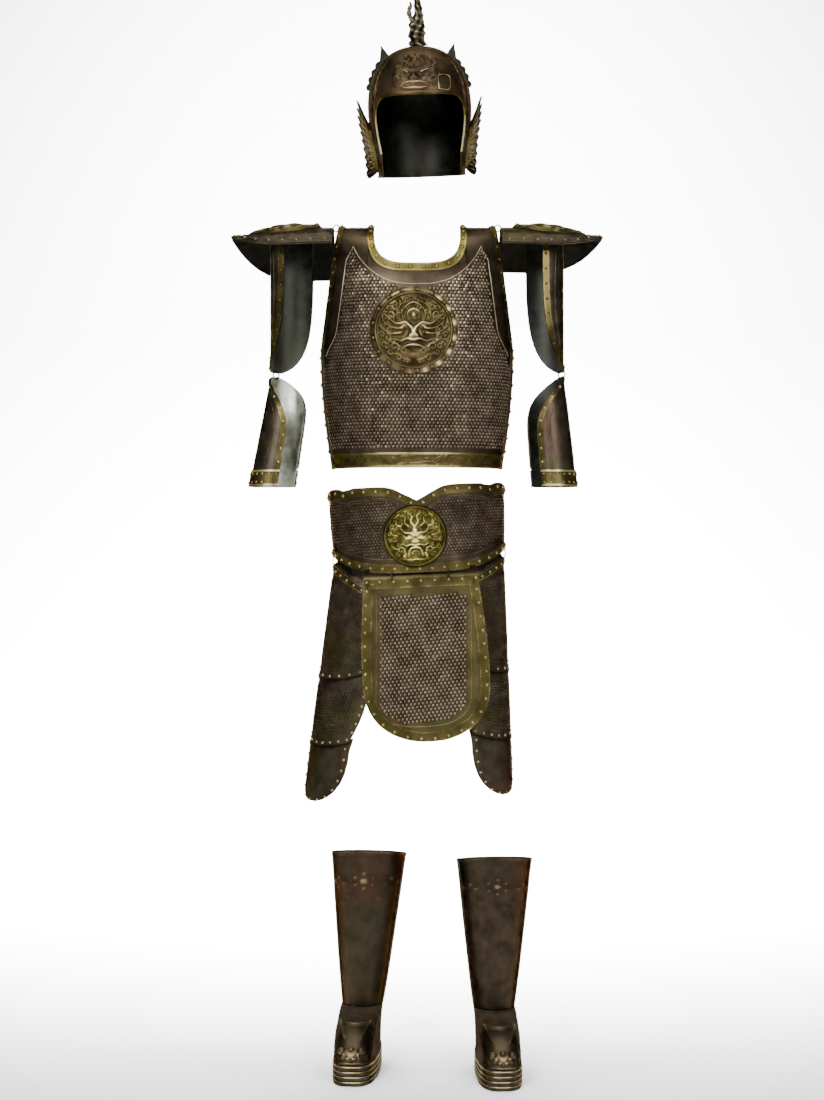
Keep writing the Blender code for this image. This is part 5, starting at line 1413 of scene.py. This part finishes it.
def makeApron():
    edge = beltBottom(np.array(apron["ringX"])) + apron["margin"]
    jointY = beltAt(np.array(apron["ringX"]), np.array(belt["bottom"] + apron["margin"]))[1] + 0.0009
    hang = np.array([0.0, jointY, float(edge) - apron["ring"]])
    top = apron["margin"] - apron["ring"]

    def apronAt(share, along):
        # above its own edge the plate steps back behind the belt
        drop = apron["length"] * along
        x = apron["x"] + share * apronWidth(along) + apron["drift"] * drop
        step = apron["step"] * blend(-drop / 0.004)
        return stack(x, sag(x) - sag(apron["ringX"]) - 0.0009 + step, top - drop) + hang

    def bySides(x, along):
        return stack(x, sag(x) - sag(apron["ringX"]) - 0.0009, top - apron["length"] * along) + hang

    def panel(u, v):
        along = towardEnd((1.0 - v) / 2.0) * 0.995
        tuck = apron["tuck"] / apron["length"]
        return apronAt(u, -tuck + (1.0 + tuck) * along)

    # outline of the panel as (across, drop), evenly spaced, with its inward normals
    bend = np.sin(np.linspace(0.0, 1.5, 400)) / math.sin(1.5) * 0.9995
    edgeX = apronWidth(bend)
    half = np.stack([apron["x"] + edgeX + apron["drift"] * apron["length"] * bend,
                     apron["length"] * bend], axis=-1)
    other = np.stack([apron["x"] - edgeX + apron["drift"] * apron["length"] * bend,
                      apron["length"] * bend], axis=-1)
    topEdge = np.linspace(half[0], other[0], 100)
    outline = np.concatenate([topEdge[:-1], other, half[::-1]])
    ring = pick(outline, evenly(outline, 0.0015, 0.0, True))

    def strip(u, v):
        # outline moved inward along its own normal
        place = ((u[:1] + 1.0) / 2.0 * len(ring)) % len(ring)
        low = np.floor(place).astype(int) % len(ring)
        share = (place - np.floor(place))[..., None]
        at = ring[low] * (1.0 - share) + ring[(low + 1) % len(ring)] * share
        along = unit(ring[(low + 5) % len(ring)] - ring[(low - 4) % len(ring)])
        inward = np.stack([-along[..., 1], along[..., 0]], axis=-1)
        if float(((ring.mean(axis=0) - at) * inward).sum()) < 0.0:
            inward = -inward
        inset = (0.0008 + 0.0190 * (1.0 - v) / 2.0)[..., None]
        spot = at + inward * inset
        return bySides(spot[..., 0], spot[..., 1] / apron["length"])

    build = Build()
    # painted shade: the part that steps back behind the belt is painted in the recess tone, dark as the
    # shade in the gap under the belt
    plate(build, panel, 81, 81, ahead, plateWall, inner=1,
          high=lambda u, v: 0.5 * blend(((1.0 - v) / 2.0 - 0.030) / 0.008))
    wide, tall, high = apron["scale"]
    a, b = lattice(0.12, 0.03, 0.31, wide, tall, -0.075)

    def fieldMiddle(drop):
        return apron["fieldX"] + apron["fieldDrift"] * (drop - apron["fieldTop"])

    def fieldSide(drop, gap):
        # tongue: straight sides, round foot of the given radius
        low = apron["fieldBottom"] + gap
        foot = np.clip((drop - (low - apron["fieldFoot"])) / apron["fieldFoot"], 0.0, 1.0)
        return (apron["fieldHalf"] + gap) * np.maximum(0.0, 1.0 - foot ** 2.6) ** (1.0 / 2.6)

    keep = ((np.abs(a) < fieldSide(b, -0.003)) & (b > apron["fieldTop"])
            & (b < apron["fieldBottom"] - 0.002))
    a, b = a[keep], b[keep]
    addScales(build, bySides, a + fieldMiddle(b), b / apron["length"], ahead, (wide, tall, high),
              (0.001, 0.003), 0.95, tilt=0.075, material=2)
    fieldLength = apron["fieldBottom"] - apron["fieldTop"]
    drop = apron["fieldBottom"] + 0.004 - fieldLength * np.linspace(0, 1, 160) ** 2
    side = fieldSide(drop, 0.004)
    line = np.concatenate([np.stack([side, drop], axis=-1)[::-1], np.stack([-side, drop], axis=-1)])
    points, normals = onSurface(bySides, line[:, 0] + fieldMiddle(line[:, 1]),
                                line[:, 1] / apron["length"], ahead, (0.001, 0.003))
    addTube(build, points, normals, 0.0009, high=0.72)
    line = np.array([[-apron["fieldHalf"] - 0.004, apron["fieldTop"] - 0.006],
                     [apron["fieldHalf"] + 0.004, apron["fieldTop"] - 0.006]])
    line = np.linspace(line[0], line[1], 40)
    points, normals = onSurface(bySides, line[:, 0] + fieldMiddle(line[:, 1]),
                                line[:, 1] / apron["length"], ahead, (0.001, 0.003))
    addTube(build, points, normals, 0.0009, high=0.60)
    build.finish("apron", "olive inner bronze", "apron", "dark_bronze", beltFrame)
    build = Build()
    points, normals = border(build, strip, 361, 7, ahead)
    rivetRow(build, points[4], normals[4], 0.0265, 0.0030, 0.0, True, high=0.74)
    build.finish("apron_border", "brass", "apron", "aged_brass", beltFrame)
    print("apron made")


# Tassets
tasset = {"splay": {"right": 7.2, "left": -3.0}, "centre": -27.0, "top": -0.064, "slope": 0.062,
          "ringAngle": -8.0, "radius": 0.1695, "depth": 0.101, "flare": 0.050, "curve": 0.024,
          "tuck": {"upper": 0.016, "middle": 0.012, "lower": 0.012},
          "frontTuck": {"right": 0.042, "left": 0.032}, "step": 0.0064, "corner": 0.20,
          "curveAngle": 40.0, "edge": 0.0065,  # edge to its rivets
          "lames": {  # top, bottom, half angle at the top, half angle at the bottom
              "upper": (-0.064, -0.292, 50.0, 45.0),
              "middle": (-0.2972, -0.424, 41.0, 37.0),
              "lower": (-0.4292, -0.535, 31.0, 0.0)},
          "rivets": {"upper": (0.0235, 0.0033), "middle": (0.0190, 0.0032), "lower": (0.0215, 0.0032)},
          "scale": (0.0062, 0.0056, 0.0010)}


def tassetPoint(side, angle, z):
    drop = np.maximum(0.0, tasset["top"] - z)
    x = side * (tasset["radius"] + tasset["flare"] * drop) * signedPower(np.cos(angle), 0.9)
    return stack(x, tasset["depth"] * signedPower(np.sin(angle), 0.9), z)


def lameEdges(lame, angle):
    top, bottom, _, bottomWrap = tasset["lames"][lame]
    curve = tasset["curve"] * ((angle - math.radians(tasset["centre"]))
                               / math.radians(tasset["curveAngle"])) ** 2
    high = top - tasset["slope"] * np.sin(angle) ** 2 if lame == "upper" else top + curve
    low = bottom + curve if bottomWrap > 0.0 else bottom + 0.0 * curve
    return high, low


def makeTasset(name, side):
    splay = math.radians(tasset["splay"][name]) * -side
    turn = math.radians(tasset["ringAngle"])
    outward = np.array([side * math.cos(turn), math.sin(turn), 0.0])
    ownEdge = lameEdges("upper", np.array(turn))[0]
    joint = tassetPoint(side, np.array(turn), ownEdge) - outward * 0.0009
    joint[2] = (float(beltBottom(np.array(belt["bottomHalf"] * math.cos(turn)))) + float(ownEdge)) / 2.0
    place = Matrix.Translation(joint) @ Matrix.Rotation(splay, 4, "Y") @ Matrix.Translation(-joint)
    place = beltFrame @ np.array(place)
    centre = math.radians(tasset["centre"])

    def inside(points):
        return points * np.array([0.0, 0.0, 1.0])

    for lame in ("upper", "middle", "lower"):
        top, bottom, topWrap, bottomWrap = tasset["lames"][lame]
        height = top - bottom

        def lameAt(share, along, lame=lame, topWrap=topWrap, bottomWrap=bottomWrap,
                   height=height):
            if bottomWrap > 0.0:
                wrap = topWrap + (bottomWrap - topWrap) * along
            else:
                wrap = topWrap * np.sqrt(np.maximum(0.0, 1.0 - np.clip(along, 0.0, 1.0) ** 3))
            if lame == "middle":
                # round front corner
                cut = tasset["corner"] * np.clip((along - 0.40) / 0.60, 0.0, 1.0) ** 2
                share = np.where(share < 0.0, share * (1.0 - cut), share)
            angle = centre + share * np.radians(wrap)
            high, low = lameEdges(lame, angle)
            z = high + (low - high) * along
            point = tassetPoint(side, angle, z)
            # above its own edge the plate steps inward behind the one above
            step = tasset["step"] * blend(-along * height / 0.006)
            inward = point * np.array([-1.0, -1.0, 0.0])
            return point + unit(inward) * step[..., None]

        def surface(u, v, lameAt=lameAt, bottomWrap=bottomWrap, lame=lame, topWrap=topWrap,
                    height=height):
            along = (1.0 - v) / 2.0
            if bottomWrap == 0.0:
                along = towardEnd(along) * 0.995
            front = np.sin(centre + u * math.radians(topWrap)) ** 2 if lame == "upper" else 0.0
            tuck = (tasset["tuck"][lame] + tasset["frontTuck"][name] * front) / height
            return lameAt(u, -tuck + (1.0 + tuck) * along)

        build = Build()
        plate(build, surface, 61, 41, inside, plateWall, inner=1)
        # rivets along the front, bottom and rear edges, and raised lines inside them
        wrapLength = 0.0024 * topWrap
        edgeIn = tasset["edge"] / wrapLength
        t = np.linspace(0.0, 1.0, 60)
        lowEnd = 1.0 - tasset["edge"] / height
        if bottomWrap > 0.0:
            share = np.concatenate([np.full(60, -1.0 + edgeIn),
                                    np.linspace(-1.0 + edgeIn, 1.0 - edgeIn, 60)[1:-1],
                                    np.full(60, 1.0 - edgeIn)])
            along = np.concatenate([t * lowEnd, np.full(58, lowEnd), t[::-1] * lowEnd])
        else:
            bend = towardEnd(t)
            share = np.concatenate([np.full(60, -1.0 + 1.3 * edgeIn), np.full(60, 1.0 - 1.3 * edgeIn)])
            along = np.concatenate([bend * 0.955, bend[::-1] * 0.955])
        points, normals = onSurface(lameAt, share, along, inside, (0.004, 0.004))
        pitch, radius = tasset["rivets"][lame]
        rivetRow(build, points + normals * 0.0006, normals, pitch, radius * 0.85, 0.006, high=0.85)
        if lame == "upper":
            # narrow riveted band under the belt
            across = np.linspace(-0.995, 0.995, 80)
            band = []
            for fall in (0.0015, 0.0150):
                at, out = onSurface(lameAt, across, np.full(80, fall / height), inside, (0.004, 0.004))
                band.append(at + out * 0.0016)
                addTube(build, at, out, 0.0013, 2, high=0.7)
            quads = gridQuads(2, 80)
            band = np.array(band)
            if not facing(band, np.broadcast_to(out, band.shape), quads):
                quads = quads[:, ::-1]
            build.add(band, quads, material=2, high=0.45)
            at, out = onSurface(lameAt, across, np.full(80, 0.0082 / height), inside, (0.004, 0.004))
            rivetRow(build, at + out * 0.0012, out, 0.0200, 0.0028, 0.006, high=0.9)
        for inset in (2.2, 3.4):
            deep = 1.0 - inset * tasset["edge"] / height
            near = 1.0 - inset * edgeIn
            if bottomWrap > 0.0:
                fan = np.linspace(-1.0, 1.0, 60)
                line = np.concatenate([np.full(60, -near), near * fan[1:-1], np.full(60, near)])
                straight = 0.04 + t * (deep - 0.04) * 0.86
                foot = deep * 0.86 + 0.14 * deep * np.sqrt(1.0 - fan[1:-1] ** 2)
                fall = np.concatenate([straight, foot, straight[::-1]])
            else:
                line = np.concatenate([np.full(60, -near), np.full(60, near)])
                straight = 0.06 + t * (deep - 0.10)
                fall = np.concatenate([straight, straight[::-1]])
            at, out = onSurface(lameAt, line, fall, inside, (0.004, 0.004))
            addTube(build, at, out, 0.0006, high=0.60)
        if lame != "lower":
            wide, tall, high = tasset["scale"]
            a, b = lattice(0.14, 0.02, height, wide, tall)
            share, along = a / wrapLength, b / height
            near = 1.0 - 4.2 * edgeIn
            deep = 1.0 - 4.2 * tasset["edge"] / height
            keep = ((np.abs(share) < near) & (along > 0.13)
                    & (along < deep * (0.84 + 0.16 * np.sqrt(np.maximum(0.0, 1.0 - (share / near) ** 2)))))
            addScales(build, lameAt, share[keep], along[keep], inside, (wide, tall, high),
                      (0.004, 0.004), 0.68)
        body = "tasset_" + lame + "_" + name
        build.finish(body, "plain inner brass", body, "dark_bronze", place)


# Boots, in their own frame
boot = {"studs": [(0.0190, 0.86, 0.0078), (0.0, 1.00, 0.0068), (0.0085, 0.60, 0.0042),
                  (0.0, 0.42, 0.0046), (0.0150, 0.50, 0.0036)],
        "sole": -1.6655, "place": {"right": (-0.108, 0.000), "left": (0.152, -0.035)},
        "yaw": {"right": -5.5, "left": 3.0}, "lean": {"right": 0.012, "left": 0.002},
        "thick": 0.038, "footCentre": -0.070, "footHalfLength": 0.136, "footHalf": 0.0435,
        "footPower": 3.2, "ankle": 0.120, "ankleHalf": 0.041, "ankleDepth": 0.052,
        "shaft": {"right": 0.432, "left": 0.424}, "backDrop": 0.030, "shaftHalf": 0.0765,
        "shaftDepth": 0.080}


def soleOutline(angle, inset):
    x, y = oval(angle, boot["footHalf"] - inset, boot["footHalfLength"] - inset, boot["footPower"])
    return x * (1.0 - 0.14 * blend((y + 0.02) / 0.14)), boot["footCentre"] + y


def bootSection(angle, height, top, lean):
    rise = (height - boot["ankle"]) / (top - boot["ankle"])
    grow = np.maximum(0.0, rise) ** 0.9
    width = boot["ankleHalf"] + (boot["shaftHalf"] - boot["ankleHalf"]) * grow
    depth = boot["ankleDepth"] + (boot["shaftDepth"] - boot["ankleDepth"]) * grow
    x, y = oval(angle, width, depth, 2.2)
    return stack(x + lean * rise, y + 0.012 * rise, height)


# Rosette and leaf sprays of the shaft, as round lumps, on the side x > 0 and mirrored
shaftForms = [(0.00, 0.800, 0.075, 0.021, 0.0016), (0.00, 0.847, 0.055, 0.016, 0.0011),
              (0.15, 0.823, 0.055, 0.016, 0.0011), (0.15, 0.777, 0.055, 0.016, 0.0011),
              (0.00, 0.753, 0.055, 0.016, 0.0011), (0.42, 0.790, 0.090, 0.014, 0.0011),
              (0.56, 0.822, 0.080, 0.018, 0.0012), (0.60, 0.762, 0.080, 0.014, 0.0010),
              (0.76, 0.800, 0.070, 0.022, 0.0011), (0.32, 0.702, 0.090, 0.012, 0.0009),
              (0.50, 0.672, 0.090, 0.012, 0.0008), (0.14, 0.662, 0.060, 0.018, 0.0008)]


def makeBoot(name):
    lean, tall = boot["lean"][name], boot["shaft"][name]
    x, y = boot["place"][name]
    place = np.array(Matrix.Translation((x, y, boot["sole"]))
                     @ Matrix.Rotation(math.radians(boot["yaw"][name]), 4, "Z"))
    inside = spine(0.0, -0.03, 0.05, 0.5)
    seam = 0.0012

    def leg(u, v):
        angle = u * math.pi
        top = tall - boot["backDrop"] * (1.0 - np.cos(angle)) / 2.0
        low = boot["ankle"] + seam / 2.0
        return bootSection(angle, low + (top - low) * (v + 1.0) / 2.0, tall, lean)

    def legLift(u, v):
        rise = (v + 1.0) / 2.0
        forms = relief(np.abs(u * 2.2), rise, shaftForms, [])
        band = 0.0010 * (np.exp(-((rise - 0.985) / 0.010) ** 2)
                         + 0.7 * np.exp(-((rise - 0.945) / 0.006) ** 2))
        return forms * (np.abs(u) < 0.45) + band

    build = Build()
    # painted light: the relief's crests and the top band are painted light as gold glints, the plain shaft
    # stays near the ground tone
    plate(build, leg, 200, 101, inside, 0.0022, legLift, inner=1, wrap=True,
          high=lambda u, v: np.clip(0.42 + 260.0 * legLift(u, v), 0.0, 0.80))
    build.finish("boot_shaft_" + name, "boot inner", "suit", "boot_bronze", place)

    def foot(u, v):
        angle = u * math.pi
        climb = (v + 1.0) / 2.0 * math.pi / 2.0
        lowX, lowY = soleOutline(angle, 0.002)
        high = bootSection(angle, np.full(u.shape, boot["ankle"]), tall, lean)
        spread = (np.maximum(0.0, np.cos(climb)) ** 1.1)[..., None]
        rise = np.maximum(0.0, np.sin(climb)) ** 1.1
        z = boot["thick"] + seam + (boot["ankle"] - boot["thick"] - 1.5 * seam) * rise
        low = stack(lowX, lowY, 0.0)
        points = high * (1.0 - spread) + low * spread
        return stack(points[..., 0], points[..., 1], z)

    def footForms(u, v):
        # across in half widths of the foot, up in quarters of the climb to the ankle
        climb = 2.0 * (v + 1.0)
        across = np.abs(foot(u, v)[..., 0]) / 0.0435
        front = blend((np.cos(u * math.pi) - 0.1) / 0.4)
        lines = [(0.10, 0.0026, [(0.00, 0.15), (0.50, 0.17), (0.92, 0.13)]),
                 (0.08, 0.0026, [(0.00, 0.40), (0.17, 0.50), (0.34, 0.74)]),
                 (0.08, 0.0024, [(0.00, 0.60), (0.12, 0.68)]),
                 (0.08, 0.0026, [(0.00, 2.44), (0.30, 2.45), (0.56, 2.42)]),
                 (0.08, 0.0026, [(0.66, 2.52), (0.54, 2.05), (0.40, 1.62)]),
                 (0.08, 0.0014, [(0.98, 1.90), (0.84, 1.30), (0.90, 0.80)])]
        lumps = [(0.00, 0.75, 0.50, 0.40, 0.0030), (0.70, 0.60, 0.16, 0.20, 0.0016)]
        return front * relief(across, climb, lumps, lines)

    build = Build()
    # painted light: the relief's crests are painted lighter as highlight over the darker ground
    skin, outward = plate(build, foot, 240, 101, inside, 0.0022, footForms, inner=1, wrap=True,
                          high=lambda u, v: np.clip(0.38 + 130.0 * footForms(u, v), 0.0, 0.88))
    # round studs: eyes, brow, muzzle (across in mm, climb, radius)
    climb = np.linspace(0.0, 4.0, 101)[:, None]
    for across, up, radius in boot["studs"]:
        for mirror in ((1.0,) if across == 0.0 else (1.0, -1.0)):
            miss = ((skin[..., 0] - mirror * across) ** 2 + (0.045 * (climb - up)) ** 2
                    + 1.0 * (skin[..., 1] > 0.0))
            row, column = np.unravel_index(np.argmin(miss), miss.shape)
            addRivets(build, skin[row, column][None], outward[row, column][None], radius, 0, 0.66)
    build.finish("boot_foot_" + name, "boot inner", "suit", "boot_bronze", place)

    layer = boot["thick"] / 4.0
    # each level is (height, inset, level): the upper edge of each layer is painted light as a highlight,
    # the groove between layers near black
    levels = []
    for index in range(4):
        base = index * layer
        levels += [(base + (0.0 if index == 0 else 0.0016), 0.0010 if index == 0 else 0.0, 0.4),
                   (base + 0.5 * layer, -0.0004, 0.35), (base + layer - 0.0016, 0.0, 0.90)]
        if index < 3:
            levels.append((base + layer, 0.0024, 0.02))
    levels.append((boot["thick"], 0.0014, 0.6))
    levels = np.array(levels)
    angle = np.linspace(-math.pi, math.pi, 120, endpoint=False)
    lineX, lineY = soleOutline(angle[None, :], levels[:, 1:2])
    points = stack(lineX, lineY, levels[:, 0:1])
    build = Build()
    quads = gridQuads(len(levels), 120, True)
    if not facing(points, points - np.array([0.0, boot["footCentre"], 0.0]), quads):
        quads = quads[:, ::-1]
    build.add(points, quads, high=np.broadcast_to(levels[:, 2:3], points.shape[:2]))
    index = np.arange(120)
    for row, flip in ((0, True), (-1, False)):
        fan = np.stack([index, np.roll(index, -1), np.full(120, 120)], axis=-1)
        loop = points[row]
        middle = loop.mean(axis=0, keepdims=True)
        own = np.cross(loop[1] - loop[0], middle[0] - loop[0])[2]
        build.add(np.concatenate([loop, middle]), None,
                  fan if (own < 0.0) == flip else fan[:, ::-1], smooth=False)
    build.finish("boot_sole_" + name, "plain", "suit", "aged_brass", place)


# Rings and small loops, round in place of the solids' eight sides
def makeRings():
    wire = 0.0016
    for node in sorted(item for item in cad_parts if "_ring_" in item):
        kind, name = node.rsplit("_", 1)
        body = ringBodies[kind]
        body = body if body == "suit" else body + "_" + name
        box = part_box(node)
        low, high = np.array(box[0]), np.array(box[1])
        centre, size = (low + high) / 2.0, high - low
        radius = size[2] / 2.0 - wire
        flat = size[:2] - 2.0 * wire
        across = unit(np.array([max(flat[0], 0.0), max(flat[1], 0.0), 0.0]))
        if node.startswith(("elbow", "tasset")):
            across = ringAcross(node)
        turn = np.linspace(0.0, math.tau, 33)[:-1]
        wide = 0.4 if node.startswith("tasset") else 1.0
        path = centre + radius * (np.cos(turn)[:, None] * across * wide
                                  + np.sin(turn)[:, None] * np.array([0.0, 0.0, 1.0]))
        out = unit(path - centre)
        build = Build()
        addTube(build, path, out, 0.0014, closed=True, high=0.35, segments=10)
        build.finish(node, "iron", body, "ring_iron")
    print("rings made")


def ringAcross(node):
    side = sides[node.rsplit("_", 1)[1]]
    if node.startswith("elbow"):
        turn = math.radians(arm["turn"][node.rsplit("_", 1)[1]])
    else:
        turn = math.radians(tasset["ringAngle"])
    return np.array([side * math.cos(turn), math.sin(turn), 0.0])


ringBodies = {"shoulder_ring": "suit", "elbow_ring": "upper_arm", "apron_ring": "suit",
              "tasset_ring_upper": "suit", "tasset_ring_middle": "tasset_upper",
              "tasset_ring_lower": "tasset_middle"}


# Camera, lights and backdrop
view = {"place": (-0.010, -4.2, -0.644), "lens": 68.73, "sensor": 36.0}
studio = {"floorHeight": -1.6655, "floorSize": 30.0, "floorTone": (0.96, 0.96, 0.96),
          "worldTone": (1.0, 1.0, 1.0), "worldPower": 0.34,
          "lamps": [  # place, aim, size across, watts, spread in degrees
              ((-1.3, -3.3, 1.0), (0.0, 0.0, -0.5), 0.8, 150.0, 180.0),
              ((1.5, -3.2, 0.6), (0.0, 0.0, -0.5), 0.6, 90.0, 180.0),
              ((0.0, -1.2, 3.2), (0.0, 0.0, -0.4), 1.4, 36.0, 180.0),
              ((0.0, 1.2, 4.4), (0.0, 4.2, -1.2), 3.0, 1500.0, 70.0),
              ((0.0, 2.3, 3.6), (0.0, 2.6, -1.7), 2.0, 520.0, 50.0)]}


def makeCamera():
    camera = bpy.data.objects.new("camera", bpy.data.cameras.new("camera"))
    collection.objects.link(camera)
    camera.location = view["place"]
    camera.rotation_euler = (math.pi / 2.0, 0.0, 0.0)
    camera.data.lens = view["lens"]
    camera.data.sensor_width = view["sensor"]
    bpy.context.scene.camera = camera


def makeStudio():
    # floor that curves up into a wall behind: circle of the given radius between the two
    half = studio["floorSize"] / 2.0
    bend = np.linspace(0.0, math.pi / 2.0, 24)
    radius, back = 2.0, 3.0
    y = np.concatenate([[-8.0], back + radius * np.sin(bend), [back + radius]])
    z = np.concatenate([[0.0], radius * (1.0 - np.cos(bend)), [9.0]])
    points = stack(np.array([-half, half])[None, :], y[:, None], z[:, None] + studio["floorHeight"])
    mesh = bpy.data.meshes.new("backdrop")
    mesh.from_pydata(points.reshape(-1, 3).tolist(), [], gridQuads(len(y), 2).tolist())
    mesh.shade_smooth()
    shader = Shader("backdrop")
    mesh.materials.append(shader.finish(Base_Color=tone(*studio["floorTone"]), Roughness=0.9))
    backdrop = bpy.data.objects.new("backdrop", mesh)
    collection.objects.link(backdrop)
    for number, (place, aim, size, power, spread) in enumerate(studio["lamps"]):
        light = bpy.data.lights.new("lamp_%d" % number, "AREA")
        light.size, light.energy, light.spread = size, power, math.radians(spread)
        lamp = bpy.data.objects.new("lamp_%d" % number, light)
        lamp.location = place
        lamp.rotation_euler = (Vector(aim) - Vector(place)).to_track_quat("-Z", "Y").to_euler()
        collection.objects.link(lamp)
    world = bpy.data.worlds.new("studio")
    world.use_nodes = True
    world.node_tree.nodes["Background"].inputs[0].default_value = (*studio["worldTone"], 1.0)
    world.node_tree.nodes["Background"].inputs[1].default_value = studio["worldPower"]
    bpy.context.scene.world = world


makeCamera()
makeStudio()
makeCuirass()
makeChestDisc()
makeHelmet()
for name, side in sides.items():
    makePauldron(name, side)
    makeArm(name, side)
makeBelt()
makeApron()
for name, side in sides.items():
    makeTasset(name, side)
    makeBoot(name)
makeRings()
